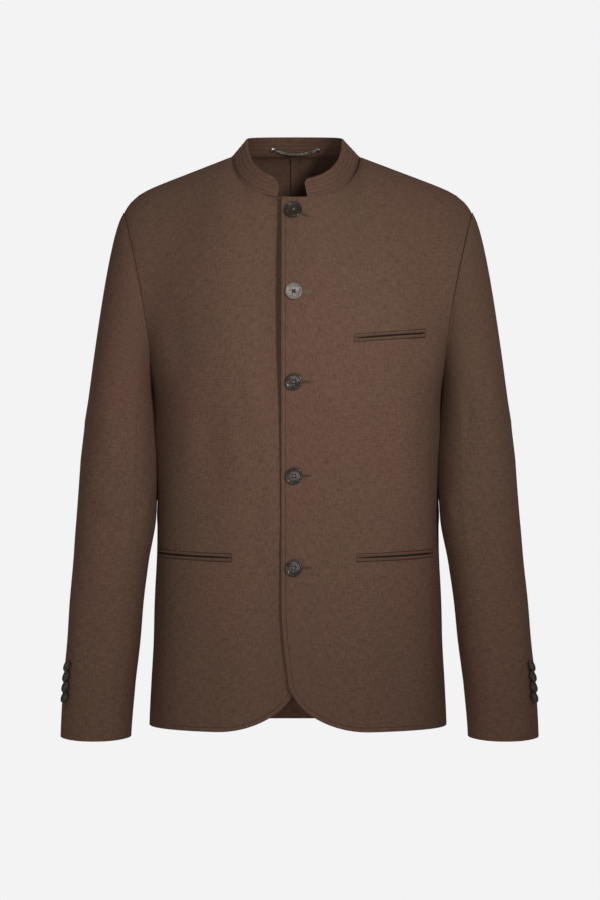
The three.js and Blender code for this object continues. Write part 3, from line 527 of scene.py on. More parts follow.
def sleeve_ring(side, level, angle):
    out, depth, half_width, half_depth = section_at(SLEEVE_SECTIONS, level)
    lean = CUFF_LEAN * smooth((LEAN_FROM - level) / (LEAN_FROM - HEM_LEVEL))
    return points(lean + side * (out + half_width * signed_power(np.cos(angle), SLEEVE_ROUNDNESS)),
                  depth - half_depth * signed_power(np.sin(angle), SLEEVE_ROUNDNESS), level)


def sleeve_point(side, angle, length):
    """Sleeve; length 0 to 1 runs from the armhole to the upper arm, 1 to 2 on to the cuff."""
    below = np.clip(length - 1, 0, 1)
    level = lerp(UPPER_ARM, CUFF, below)
    lower = sleeve_ring(side, level, angle)
    lower[..., 2] += CUFF_RISE * (1 - np.sin(angle) ** 2) * below ** 4
    start, end = armhole_point(side, angle), sleeve_ring(side, UPPER_ARM, angle)
    facing = np.cos(angle)
    leave = points(side * (HEAD_OUT + HEAD_FULLNESS * facing), -HEAD_FORWARD * np.sin(angle),
                   -(HEAD_DROP + HEAD_TIP_DROP * facing))
    land = points(side * ARM_OUT * ((1 + facing) / 2) ** 2, 0, end[..., 2] - start[..., 2])
    share = np.clip(length, 0, 1)[..., None]
    upper = hermite(start, end, leave, land, share)
    return np.where((length >= 1)[..., None], lower, upper)


def collar_point(side, angle, height):
    facing = np.cos(angle)
    base = neck_point(side, angle)
    top = tucked(side, points(
        COLLAR_SHIFT + side * COLLAR_HALF_WIDTH * np.sin(angle),
        -np.where(facing > 0, COLLAR_FRONT, COLLAR_BACK) * facing, base[..., 2] + COLLAR_RISE))
    return lerp(base, top, height[..., None])


def unit(vectors):
    return vectors / np.linalg.norm(vectors, axis=-1, keepdims=True)


def body_inward(place):
    level = np.minimum(place[..., 2], BODY_MIDDLE_TOP)
    return unit(points(place[..., 0] * BODY_MIDDLE_SHARE, 0, level) - place)


def sleeve_inward(place):
    side = np.sign(place[..., 0])
    out, depth, _, _ = section_at(SLEEVE_SECTIONS, np.minimum(place[..., 2], UPPER_ARM))
    share = np.clip((place[..., 2] - UPPER_ARM) / ARMHOLE_INWARD_RISE, 0, 1)
    level = np.minimum(place[..., 2], ARMHOLE_INWARD_TOP)
    return unit(points(side * lerp(out, ARMHOLE_MIDDLE, share), depth, level) - place)


def collar_inward(place):
    return unit(points(COLLAR_SHIFT + place[..., 0] * 0.3, 0, place[..., 2]) - place)


def on_front(side, x, level):
    """Front panel's place and outward face where it has this x and level, by a few corrections."""
    x, level = np.broadcast_arrays(np.asarray(x, float), np.asarray(level, float))
    across, height = np.full(x.shape, 0.3), np.full(x.shape, 0.8)
    step, pace, rounds = 0.002, 0.7, 40
    for _ in range(rounds):
        here = front_point(side, across, height)
        aside = (front_point(side, across + step, height) - here) / step
        above = (front_point(side, across, height + step) - here) / step
        a, b, c, d = aside[..., 0], above[..., 0], aside[..., 2], above[..., 2]
        determinant = a * d - b * c
        dx, dz = x - here[..., 0], level - here[..., 2]
        across = np.clip(across + pace * (d * dx - b * dz) / determinant, 0, 0.995)
        height = np.clip(height + pace * (a * dz - c * dx) / determinant, 0, 1.99)
    face = unit(np.cross(aside, above))
    face = np.where((face[..., 1] > 0)[..., None], -face, face)
    return front_point(side, across, height), face


# Cloth walls

# How far both faces sink towards the middle of the wall beside an edge, as (distance, depth)
# in shares of half the thickness: a turned edge is round, a sewn one is a narrow groove.
TURNED = ((0, 1.0), (0.134, 0.5), (0.5, 0.134), (1.0, 0.0), (2.2, 0.0))
SEWN = ((0, 1.0), (0.03, 0.42), (0.15, 0.14), (0.45, 0.0), (1.8, 0.0))
EDGE_REACH = 3.5
# The weave on a wall's inner face is moved by this much, so that it isn't the outer one's copy
INNER_GRAIN_SHIFT = (3.7, 1.9)
# Creases fade out this near to a seam; a sleeve head's puff, below its seam
SEAM_FADE = 16
PUFF_LEVEL, PUFF_HALF_WIDTH, PUFF_FADE = 6, 5, 4
UPPER_PUFF, UNDER_PUFF = 1.1, 0.4


def stations(length, step, radius, first=TURNED, last=TURNED):
    """Shares along a panel's side, crowded at its two edges, and how far its faces sink at each."""
    start = [(radius * away / length, radius * depth) for away, depth in first]
    end = [(1 - radius * away / length, radius * depth) for away, depth in reversed(last)]
    reach = EDGE_REACH * radius / length
    count = max(2, round(length / step))
    middle = [(share, 0.0) for share in np.linspace(reach, 1 - reach, count)]
    return np.array(start + middle + end).T


def sewn_distance(shares, length, first, last):
    """Distance of each place from the sewn edges at the ends of a side, in millimetres."""
    far = np.full(shares.shape, 1e4)
    if first is SEWN:
        far = np.minimum(far, shares * length)
    if last is SEWN:
        far = np.minimum(far, (1 - shares) * length)
    return far


def crease_height(creases, across, up, strength):
    """Sum of soft strokes over a surface, each fading towards its two ends."""
    total = np.zeros_like(across)
    for a0, b0, a1, b1, width, depth in creases:
        da, db = a1 - a0, b1 - b0
        span = da * da + db * db
        share = ((across - a0) * da + (up - b0) * db) / span
        away = ((across - a0) * db - (up - b0) * da) / math.sqrt(span)
        fade = np.cos(np.clip(share - 0.5, -0.5, 0.5) * math.pi) ** 1.3
        total += depth * strength * fade * np.exp(-(away / width) ** 2)
    return total


def wall_mesh(name, outer, inward, thickness, sink):
    """Closed cloth wall under a grid of outer points; its two faces meet where they sink halfway."""
    face = outer + inward * sink[..., None]
    lining = outer + inward * (thickness - sink)[..., None]
    rows, columns = sink.shape
    index_out = np.arange(rows * columns).reshape(rows, columns)
    index_in = index_out.copy()
    inside = np.zeros((rows, columns), dtype=bool)
    inside[1:-1, 1:-1] = True
    index_in[inside] = rows * columns + np.arange(inside.sum())
    vertices = np.concatenate([face.reshape(-1, 3), lining[inside]])

    def quads(index):
        corners = [index[:-1, :-1], index[:-1, 1:], index[1:, 1:], index[1:, :-1]]
        return np.stack(corners, axis=-1).reshape(-1, 4)

    faces = np.concatenate([quads(index_out), quads(index_in)[:, ::-1]])
    along = np.linalg.norm(np.diff(outer, axis=1, prepend=outer[:, :1]), axis=-1).cumsum(axis=1)
    up = np.linalg.norm(np.diff(outer, axis=0, prepend=outer[:1]), axis=-1).cumsum(axis=0)
    grain = np.stack([along, up], axis=-1)
    grain = np.concatenate([grain.reshape(-1, 2), grain[inside] + INNER_GRAIN_SHIFT])
    return mesh_from(name, vertices, faces, grain)


def mesh_from(name, vertices, faces, grain=None):
    """Mesh in metres from millimetre points, its faces turned to face outwards."""
    vertices = np.asarray(vertices, float)
    faces = [list(face) for face in faces]
    first = vertices[[face[0] for face in faces]]
    volume = 0.0
    for k in range(1, max(len(face) for face in faces) - 1):
        second = vertices[[face[min(k, len(face) - 1)] for face in faces]]
        third = vertices[[face[min(k + 1, len(face) - 1)] for face in faces]]
        volume += np.einsum("ij,ij->i", first, np.cross(second, third)).sum()
    if volume < 0:
        faces = [face[::-1] for face in faces]
    mesh = bpy.data.meshes.new(name)
    mesh.from_pydata((vertices * MM).tolist(), [], faces)
    if grain is not None:
        layer = mesh.uv_layers.new(name="grain")
        corner = np.empty(len(mesh.loops), dtype=np.int32)
        mesh.loops.foreach_get("vertex_index", corner)
        layer.data.foreach_set("uv", (np.asarray(grain)[corner] * MM).astype(np.float32).ravel())
    mesh.shade_smooth()
    mesh.validate()
    return mesh


def add_object(name, data):
    """New object in the scene, at the origin."""
    item = bpy.data.objects.new(name, data)
    bpy.context.scene.collection.objects.link(item)
    return item


def baked(item, name):
    """Plain mesh of an object with its modifiers carried out; the object itself is removed."""
    depsgraph = bpy.context.evaluated_depsgraph_get()
    mesh = bpy.data.meshes.new_from_object(item.evaluated_get(depsgraph))
    source = item.data
    item.modifiers.clear()
    bpy.data.objects.remove(item)
    bpy.data.meshes.remove(source)
    mesh.name = name
    mesh.shade_smooth()
    return mesh


def show(name, mesh, finish, slot, *nodes):
    """Puts a finished mesh into the scene as a piece of the jacket."""
    piece = add_object(name, mesh)
    mesh.materials.clear()
    mesh.materials.append(material(finish))
    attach(piece, "root")
    if nodes:
        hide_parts(*nodes)
    return piece


def both_ways(up, across):
    """Values up and across a grid joined into one, the larger of the two at each place."""
    return np.maximum(up[:, None], across[None, :])


def strip_grid(width, height, step_across, step_up, thickness):
    """Shares across and up of a narrow strip, and how far its faces sink at each place."""
    columns, column_sink = stations(width, step_across, thickness / 2)
    rows, row_sink = stations(height, step_up, thickness / 2)
    across, up = np.meshgrid(columns, rows)
    return across, up, both_ways(row_sink, column_sink)


def show_wall(name, outer, inward, thickness, sink, finish, *nodes):
    """Makes a cloth wall under outer points and shows it as a piece."""
    mesh = wall_mesh(name, outer, inward, thickness, sink)
    return show(name, mesh, finish, "wool", *nodes)


def eased(outer, columns, level, free):
    """Draws a body panel's columns together below the neck point, where its seam turns a corner."""
    reach, lowest, fade, seam_fade, rounds = 0.13, -215, 70, 45, 90
    near = np.exp(-((columns - NECK_SHARE) / reach) ** 2)[None, :] * smooth((level - lowest) / fade)
    weight = (0.5 * near * smooth(free / seam_fade))[:, 1:-1, None]
    for _ in range(rounds):
        middle = (outer[:, :-2] + outer[:, 2:]) / 2
        outer[:, 1:-1] += weight * (middle - outer[:, 1:-1])
    return outer


def panel(node, surface, inward, size, edges, creases, view, puff=0.0, ease=False):
    """Cloth panel that replaces a node, over a surface of (share across, share up).

    Its edges are given in the order start, end, lower and upper.
    """
    settings = bpy.context.scene.jacket
    width, height = size
    step, thickness = settings.mesh_step / MM, settings.cloth_thickness / MM
    columns, column_sink = stations(width, step, thickness / 2, edges[0], edges[1])
    rows, row_sink = stations(height, step, thickness / 2, edges[2], edges[3])
    outer = surface(columns[None, :], rows[:, None])
    direction = inward(outer)
    free = np.minimum(sewn_distance(rows, height, edges[2], edges[3])[:, None],
                      sewn_distance(columns, width, edges[0], edges[1])[None, :])
    if ease:
        outer = eased(outer, columns, outer[..., 2], free)
        direction = inward(outer)
    across, up = view(outer, columns[None, :], rows[:, None])
    lift = crease_height(creases, across, up, settings.crease_depth) * smooth(free / SEAM_FADE)
    top = (1 - rows)[:, None] * height
    swell = np.exp(-((top - PUFF_LEVEL) / PUFF_HALF_WIDTH) ** 2) * smooth(top / PUFF_FADE)
    outer = outer - direction * (lift + puff * swell)[..., None]
    return show_wall(f"cloth_{node}", outer, direction, thickness, both_ways(row_sink, column_sink),
                     "melange_wool", node)


# Shader maths

# Number of the Texture Coordinate node's Object output
OBJECT_PLACE = 3


class Value:
    """An output socket of a node; arithmetic on it adds Math nodes."""

    def __init__(self, shader, socket):
        self.shader, self.socket = shader, socket

    def math(self, operation, *others):
        return self.shader.node("ShaderNodeMath", {"operation": operation}, *others)

    def __add__(self, other):
        return self.math("ADD", self, other)

    __radd__ = __add__

    def __mul__(self, other):
        return self.math("MULTIPLY", self, other)

    __rmul__ = __mul__

    def __sub__(self, other):
        return self.math("SUBTRACT", self, other)

    def sine(self):
        return self.math("SINE", self)


class Shader:
    """A material's node tree with a Principled shader at its end."""

    def __init__(self, name, **constants):
        self.material = bpy.data.materials.new(name)
        self.material.use_nodes = True
        self.tree = self.material.node_tree
        self.surface = self.tree.nodes["Principled BSDF"]
        for socket, value in constants.items():
            self.surface.inputs[socket.replace("_", " ")].default_value = value

    def node(self, kind, settings=None, *values, output=0, **named):
        """Adds a node: its settings first, then its sockets by order or by name."""
        node = self.tree.nodes.new(kind)
        for key, value in (settings or {}).items():
            if key == "stops":
                self.stops(node.color_ramp, value)
            else:
                setattr(node, key, value)
        for socket, value in enumerate(values):
            self.feed(node.inputs[socket], value)
        for socket, value in named.items():
            self.feed(node.inputs[socket.replace("_", " ")], value)
        return Value(self, node.outputs[output])

    @staticmethod
    def stops(ramp, table):
        ramp.elements[0].position, ramp.elements[0].color = table[0][0], (*table[0][1], 1)
        ramp.elements[1].position, ramp.elements[1].color = table[-1][0], (*table[-1][1], 1)
        for position, colour in table[1:-1]:
            ramp.elements.new(position).color = (*colour, 1)

    def feed(self, socket, value):
        if isinstance(value, Value):
            self.tree.links.new(value.socket, socket)
        elif socket.type == "RGBA":
            socket.default_value = (*value, 1)
        else:
            socket.default_value = value

    def finish(self, **links):
        for socket, value in links.items():
            self.feed(self.surface.inputs[socket.replace("_", " ")], value)
        return self.material

    def product(self, vector, scale):
        return self.node("ShaderNodeVectorMath", {"operation": "MULTIPLY"}, vector, scale)

    def noise(self, vector, scale, detail=2.0, roughness=0.5):
        return self.node("ShaderNodeTexNoise", None, Vector=vector, Scale=scale, Detail=detail,
                         Roughness=roughness)

    def mixed(self, share, first, second):
        """Colour between two others; a Mix node's colour sockets are its 7th and 8th."""
        node = self.tree.nodes.new("ShaderNodeMix")
        node.data_type = "RGBA"
        self.feed(node.inputs[0], share)
        self.feed(node.inputs[6], first)
        self.feed(node.inputs[7], second)
        return Value(self, node.outputs[2])

    def bump(self, height, distance, strength):
        return self.node("ShaderNodeBump", None, Strength=strength, Distance=distance, Height=height)


def scaled(colour, factor):
    return tuple(min(1.0, factor * part) for part in colour)


def wool_material(settings):
    """Plain-woven melange wool: crossed slubs, mixed fibres, and a yarn-scale bump."""
    warp_stretch, weft_stretch, dye_stretch, fibre_scale = (600, 105, 0), (95, 560, 0), (9, 9, 4), 620.0
    olive, russet = (0.95, 1.01, 0.96), (1.04, 0.98, 0.99)
    shader = Shader("melange_wool", Sheen_Weight=0.04, Sheen_Roughness=0.5,
                    Sheen_Tint=(0.6, 0.45, 0.35, 1), Specular_IOR_Level=0.12)
    grain = shader.node("ShaderNodeUVMap", {"uv_map": "grain"})
    warp = shader.noise(shader.product(grain, warp_stretch), 1.0, 3.0, 0.6)
    weft = shader.noise(shader.product(grain, weft_stretch), 1.0, 3.0, 0.6)
    fibre = shader.noise(grain, fibre_scale, 3.0, 0.65)
    place = shader.node("ShaderNodeTexCoord", output=OBJECT_PLACE)
    cloud = shader.noise(shader.product(place, dye_stretch), 1.0, 2.0)
    across = shader.node("ShaderNodeSeparateXYZ", None, grain)
    up = Value(shader, across.socket.node.outputs[1])
    turns = math.pi / settings.yarn_pitch
    weave = (across * turns).sine() * (up * turns).sine()
    share = 0.5 + (warp - 0.5) * 0.8 + (weft - 0.5) * 0.8 + (fibre - 0.5) * 0.6 + weave * 0.07
    yarn = shader.mixed(share, tuple(settings.wool_dark), tuple(settings.wool_light))
    dye = shader.mixed((cloud - 0.35) * 3.3, olive, russet)
    colour = shader.product(yarn, dye)
    relief = weave * 0.35 + warp * 0.55 + weft * 0.55 + fibre * 0.5
    return shader.finish(Base_Color=colour, Roughness=0.8 + fibre * 0.2,
                         Normal=shader.bump(relief, 0.0003, 0.45))


def thread_material(name, colour, twist_pitch=0.0004):
    """Twisted thread, or the fine pocket lining whose near-black colour is painted shade; nearly matt."""
    shader = Shader(name, Specular_IOR_Level=0.1)
    place = shader.node("ShaderNodeTexCoord", output=OBJECT_PLACE)
    twist = shader.noise(place, 1.0 / twist_pitch, 1.0)
    tone = shader.mixed(twist, scaled(colour, 0.6), scaled(colour, 1.35))
    return shader.finish(Base_Color=tone, Roughness=0.6 + twist * 0.2,
                         Normal=shader.bump(twist, 0.0001, 0.3))


def horn_material(name, dark, light):
    """Polished dark horn, streaked and clouded, with paler growth lines."""
    shader = Shader(name, Coat_Roughness=0.12, Specular_IOR_Level=0.15)
    place = shader.node("ShaderNodeTexCoord", output=OBJECT_PLACE)
    bent = shader.noise(place, 60.0, 2.0)
    streak = shader.noise(shader.product(place, (95, 60, 420)), 1.0, 3.0, 0.6)
    cloud = shader.noise(place, 190.0, 4.0, 0.6)
    share = streak * 0.55 + cloud * 0.45 + (bent - 0.5) * 0.3
    middle = tuple(lerp(d, l, 0.3) for d, l in zip(dark, light))
    colour = shader.node("ShaderNodeValToRGB", {"stops": [
        (0.38, dark), (0.46, middle), (0.52, dark), (0.60, light), (0.70, middle)]}, share)
    return shader.finish(Base_Color=colour, Roughness=0.35 + cloud * 0.2, Coat_Weight=0.3 + cloud * 0.3,
                         Normal=shader.bump(streak, 0.00005, 0.2))


def metal_material(settings):
    """Nickelled steel of the hanger chain, dulled and finely scratched."""
    shader = Shader("nickelled_steel", Metallic=1.0)
    place = shader.node("ShaderNodeTexCoord", output=OBJECT_PLACE)
    scratch = shader.noise(shader.product(place, (300, 2400, 300)), 1.0, 3.0)
    wear = shader.noise(place, 140.0, 2.0)
    bright = tuple(settings.metal)
    colour = shader.mixed((wear - 0.3) * 2.5, scaled(bright, 0.3), bright)
    return shader.finish(Base_Color=colour, Roughness=0.25 + scratch * 0.25,
                         Normal=shader.bump(scratch, 0.00003, 0.3))


def floor_material(settings):
    """Pale matt studio floor with a faint paint texture."""
    shader = Shader("studio_floor", Roughness=0.9, Specular_IOR_Level=0.1)
    paint = shader.noise(shader.node("ShaderNodeTexCoord", output=OBJECT_PLACE), 3.0, 2.0)
    tone = shader.mixed(paint, (0.74, 0.74, 0.74), (0.78, 0.78, 0.78))
    return shader.finish(Base_Color=tone)


THREADS = {
    "topstitch_thread": "topstitch_colour", "buttonhole_silk": "buttonhole_colour",
    "matched_thread": "matched_thread_colour", "button_thread": "button_thread_colour",
    # The pocket lining's colour is painted shade for the pocket mouths
    "dark_thread": "dark_thread_colour", "pocket_lining": "lining_colour",
}
HORNS = {"polished_horn": ("horn_dark", "horn_light"), "pale_horn": ("horn_grey", "horn_pale")}
OTHER_FINISHES = {
    "melange_wool": wool_material, "nickelled_steel": metal_material, "studio_floor": floor_material,
}


def material(name):
    """A finish by its name, made when it is first asked for."""
    found = bpy.data.materials.get(name)
    if found:
        return found
    settings = bpy.context.scene.jacket
    if name in THREADS:
        return thread_material(name, tuple(getattr(settings, THREADS[name])))
    if name in HORNS:
        return horn_material(name, *(tuple(getattr(settings, colour)) for colour in HORNS[name]))
    return OTHER_FINISHES[name](settings)


# Geometry nodes

class Tree:
    """A Geometry Nodes tree with named inputs, whose result is realized and given a material."""

    def __init__(self, name, inputs):
        self.group = bpy.data.node_groups.new(name, "GeometryNodeTree")
        self.sockets = {}
        self.add_socket("Geometry", "NodeSocketGeometry")
        for label, value in inputs.items():
            self.add_socket(label, "NodeSocketFloat")
            self.sockets[label].default_value = value
        self.add_socket("Material", "NodeSocketMaterial")
        self.group.interface.new_socket("Geometry", in_out="OUTPUT", socket_type="NodeSocketGeometry")
        self.start = self.group.nodes.new("NodeGroupInput")
        self.end = self.group.nodes.new("NodeGroupOutput")

    def add_socket(self, label, kind):
        socket = self.group.interface.new_socket(label, in_out="INPUT", socket_type=kind)
        self.sockets[label] = socket

    def input(self, label):
        return self.start.outputs[label]

    def node(self, kind, settings=None, output=0, **sockets):
        """Adds a node and gives back one of its outputs; sockets are fed by name or by number."""
        node = self.group.nodes.new(kind)
        for key, value in (settings or {}).items():
            setattr(node, key, value)
        for label, value in sockets.items():
            key = int(label[1:]) if label[0] == "_" else label.replace("_", " ")
            if isinstance(value, bpy.types.NodeSocket):
                self.group.links.new(value, node.inputs[key])
            else:
                node.inputs[key].default_value = value
        return node.outputs[output]

    def close(self, instances):
        real = self.node("GeometryNodeRealizeInstances", Geometry=instances)
        done = self.node("GeometryNodeSetMaterial", Geometry=real, Material=self.input("Material"))
        self.group.links.new(done, self.end.inputs["Geometry"])
        return self

    def grow(self, name, mesh, finish, **values):
        """Runs the tree over a mesh of paths and gives back what grows on it as a plain mesh."""
        carrier = add_object(name + "_path", mesh)
        modifier = carrier.modifiers.new(name, "NODES")
        modifier.node_group = self.group
        for label, value in values.items():
            modifier[self.sockets[label.replace("_", " ")].identifier] = value
        modifier[self.sockets["Material"].identifier] = material(finish)
        return baked(carrier, name)

    def vector_math(self, operation, *vectors, **sockets):
        numbered = {f"_{number}": vector for number, vector in enumerate(vectors)}
        return self.node("ShaderNodeVectorMath", {"operation": operation}, **numbered, **sockets)

    def math(self, operation, *values):
        numbered = {f"_{number}": value for number, value in enumerate(values)}
        return self.node("ShaderNodeMath", {"operation": operation}, **numbered)

    def steps_along(self):
        """Points along the tree's paths, one for each pitch."""
        path = self.node("GeometryNodeMeshToCurve", Mesh=self.input("Geometry"))
        return self.node("GeometryNodeResampleCurve", {"mode": "LENGTH"}, Curve=path,
                         Length=self.input("Pitch"))

    def facing(self, ahead, outward):
        """Rotation that lays a shape's x axis along ahead and its z axis towards outward."""
        return self.node("FunctionNodeAxesToRotation", {"primary_axis": "X", "secondary_axis": "Z"},
                         Primary_Axis=ahead, Secondary_Axis=outward)


def stitch_tree():
    """Thread stitches along paths; a turn of 90 degrees lays them across the path."""
    tree = Tree("stitches_on_path", {"Pitch": 0.0032, "Length": 0.0024, "Thickness": 0.0005, "Turn": 0.0})
    along = tree.node("GeometryNodeInputTangent")
    outward = tree.node("GeometryNodeInputNamedAttribute", {"data_type": "FLOAT_VECTOR"}, Name="outward")
    aside = tree.vector_math("CROSS_PRODUCT", along, outward)
    part_along = tree.vector_math("SCALE", along, Scale=tree.math("COSINE", tree.input("Turn")))
    part_aside = tree.vector_math("SCALE", aside, Scale=tree.math("SINE", tree.input("Turn")))
    turned = tree.facing(tree.vector_math("ADD", part_along, part_aside), outward)
    half_length = tree.math("MULTIPLY", tree.input("Length"), 0.5)
    half_width = tree.math("MULTIPLY", tree.input("Thickness"), 0.5)
    size = tree.node("ShaderNodeCombineXYZ", X=half_length, Y=half_width, Z=half_width)
    bead = tree.node("GeometryNodeMeshUVSphere", Segments=6, Rings=5, Radius=1.0)
    bead = tree.node("GeometryNodeTransform", Geometry=bead, Rotation=(0.0, QUARTER, 0.0))
    return tree.close(tree.node("GeometryNodeInstanceOnPoints", Points=tree.steps_along(), Instance=bead,
                                Rotation=turned, Scale=size))


def chain_tree():
    """Oval wire links along a path, every other one turned by a quarter."""
    narrowing, first_turn = 0.62, 0.4
    tree = Tree("chain_links", {"Pitch": 0.0021, "Link": 0.0014, "Wire": 0.00032})
    odd = tree.math("MODULO", tree.node("GeometryNodeInputIndex"), 2.0)
    spin = tree.node("FunctionNodeAxisAngleToRotation", Axis=(1.0, 0.0, 0.0),
                     Angle=tree.math("MULTIPLY_ADD", odd, QUARTER, first_turn))
    turned = tree.facing(tree.node("GeometryNodeInputTangent"), (0.0, 0.0, 1.0))
    turned = tree.node("FunctionNodeRotateRotation", {"rotation_space": "LOCAL"}, Rotation=turned,
                       Rotate_By=spin)
    length = tree.input("Link")
    size = tree.node("ShaderNodeCombineXYZ", X=length, Y=length, Z=length)
    ring = tree.node("GeometryNodeCurvePrimitiveCircle", Resolution=12, Radius=1.0)
    ring = tree.node("GeometryNodeTransform", Geometry=ring, Scale=(1.0, narrowing, 1.0))
    ring = tree.node("GeometryNodeTransform", Geometry=ring, Scale=size)
    wire = tree.node("GeometryNodeCurvePrimitiveCircle", Resolution=5, Radius=tree.input("Wire"))
    link = tree.node("GeometryNodeCurveToMesh", Curve=ring, Profile_Curve=wire)
    return tree.close(tree.node("GeometryNodeInstanceOnPoints", Points=tree.steps_along(), Instance=link,
                                Rotation=turned))


def path_mesh(name, paths):
    """Mesh of open or closed paths; each is (points, outward directions, closed)."""
    vertices, outward, edges = [], [], []
    for place, face, closed in paths:
        start = len(vertices)
        vertices.extend((place * MM).tolist())
        outward.extend(face.tolist())
        edges.extend((start + i, start + i + 1) for i in range(len(place) - 1))
        if closed:
            edges.append((start + len(place) - 1, start))
    mesh = bpy.data.meshes.new(name)
    mesh.from_pydata(vertices, edges, [])
    attribute = mesh.attributes.new("outward", "FLOAT_VECTOR", "POINT")
    attribute.data.foreach_set("vector", np.array(outward, dtype=np.float32).ravel())
    return mesh


def sew(name, paths, thread, pitch, length, thickness, turn=0.0):
    """Sews stitches along paths and shows them as one piece."""
    stitches = stitch_tree().grow(name, path_mesh(name + "_rows", paths), thread, Pitch=pitch,
                                  Length=length, Thickness=thickness, Turn=turn)
    return show(name, stitches, thread, "wool")


# Small solid shapes

def ring_faces(rings, sides):
    """Faces of a solid whose points are rings one after another, capped at its two ends."""
    faces = [tuple(range(sides))[::-1], tuple((rings - 1) * sides + k for k in range(sides))]
    for ring in range(rings - 1):
        for k in range(sides):
            a, b = ring * sides + k, ring * sides + (k + 1) % sides
            faces.append((a, b, b + sides, a + sides))
    return faces


def tube(path, radius, sides):
    """Closed round tube along points, with capped ends; gives vertices and faces."""
    path = np.asarray(path, float)
    direction = unit(np.gradient(path, axis=0))
    vertices = []
    # A direction that no path in this script runs along
    guide = np.array((0.31, 0.17, 0.93))
    for place, ahead in zip(path, direction):
        first = unit(np.cross(ahead, guide))
        second = np.cross(ahead, first)
        for k in range(sides):
            turn = 2 * math.pi * k / sides
            vertices.append(place + radius * (math.cos(turn) * first + math.sin(turn) * second))
        guide = np.cross(first, ahead)
    return vertices, ring_faces(len(path), sides)


def joined(parts):
    """Vertices and faces of several parts as one list each."""
    vertices, faces = [], []
    for some, their in parts:
        start = len(vertices)
        vertices.extend(some)
        faces.extend(tuple(start + i for i in face) for face in their)
    return vertices, faces


def lathe(profile, segments):
    """Solid of revolution round the y axis; the profile starts and ends on it."""
    vertices, faces = [], []
    for k in range(segments):
        turn = 2 * math.pi * k / segments
        for radius, height in profile[1:-1]:
            vertices.append((radius * math.cos(turn), height, radius * math.sin(turn)))
    count = len(profile) - 2
    bottom, top = len(vertices), len(vertices) + 1
    vertices.extend([(0, profile[0][1], 0), (0, profile[-1][1], 0)])
    for k in range(segments):
        here, beside = k * count, (k + 1) % segments * count
        faces.append((bottom, here, beside))
        faces.append((top, beside + count - 1, here + count - 1))
        for i in range(count - 1):
            faces.append((here + i, here + i + 1, beside + i + 1, beside + i))
    return vertices, faces


def button_mesh(radius, sizes):
    """Dished sew-through button with a rolled rim and four holes, its face towards +Y."""
    height, rim, dish, hole, spread = (sizes[key] for key in ("height", "rim", "dish", "hole", "spread"))
    half = height / 2
    crown = half - rim * 0.42
    bowl = radius * 0.42
    profile = [(0, -half), (radius * 0.55, -half), (radius * 0.74, -half + 0.05 * height)]
    profile += [(radius * 0.9, -half + 0.22 * height), (radius * 0.985, -half + 0.45 * height)]
    for step in range(9):
        turn = math.pi * step / 8
        profile.append((radius - rim / 2 + rim / 2 * math.cos(turn), crown + rim * 0.42 * math.sin(turn)))
    for share in (0.2, 0.45, 0.7, 0.9):
        fall = (dish - rim * 0.2) * smooth(share)
        profile.append((lerp(radius - rim, bowl, share), crown - fall))
    profile += [(radius * 0.36, half - dish - 0.22 * rim), (0, half - dish - 0.22 * rim)]
    solid = add_object("button_blank", mesh_from("button_blank", *lathe(profile, 56)))
    cutters = []
    for k in range(4):
        turn = (k + 0.5) * QUARTER
        x, z = spread * math.cos(turn), spread * math.sin(turn)
        cutters.append(tube([(x, -height, z), (x, 0, z), (x, height, z)], hole, 14))
    cutter = add_object("button_holes", mesh_from("button_holes", *joined(cutters)))
    modifier = solid.modifiers.new("holes", "BOOLEAN")
    modifier.operation, modifier.object, modifier.solver = "DIFFERENCE", cutter, "EXACT"
    mesh = baked(solid, "button")
    bpy.data.objects.remove(cutter)
    return mesh


def turned(place, centre, face, spin):
    """Points of a button's own frame, where its face is +Y, laid on a centre and face."""
    face = unit(np.asarray(face, float))
    aside = unit(np.cross(face, (0.0, 0.0, 1.0)))
    up = np.cross(aside, face)
    place = np.asarray(place, float)
    cos, sin = math.cos(spin), math.sin(spin)
    x = place[..., 0] * cos - place[..., 2] * sin
    z = place[..., 0] * sin + place[..., 2] * cos
    return centre + x[..., None] * aside + place[..., 1][..., None] * face + z[..., None] * up


def button_thread(sizes):
    """Two crossed bundles of thread over a button's holes, and the shank under it."""
    half, spread, hole = sizes["height"] / 2, sizes["spread"], sizes["hole"]
    reach, dive_from, dive = spread + 0.15, 0.86, 1.2
    parts = []
    for turn, lift in ((0.25 * math.pi, 0.0), (0.75 * math.pi, 0.55)):
        for lane in (-0.42, 0.0, 0.42):
            path = []
            for share in np.linspace(-1, 1, 11):
                along = share * reach
                sunk = dive * max(0.0, abs(share) - dive_from) / (1 - dive_from)
                rise = half - sizes["seat"] + 0.25 + lift * (1 - share * share) - sunk
                x = along * math.cos(turn) - lane * hole * math.sin(turn)
                z = along * math.sin(turn) + lane * hole * math.cos(turn)
                path.append((x, rise, z))
            parts.append(tube(path, THREAD_RADIUS, 6))
    parts.append(tube([(0, -half - 1.2, 0), (0, -half + 0.3, 0)], SHANK_RADIUS, 10))
    return joined(parts)


def rotate(vector, axis, angle):
    """Rodrigues' turn of a vector round a unit axis."""
    vector, axis = np.asarray(vector, float), np.asarray(axis, float)
    return (vector * math.cos(angle) + np.cross(axis, vector) * math.sin(angle)
            + axis * np.dot(axis, vector) * (1 - math.cos(angle)))


# Operators

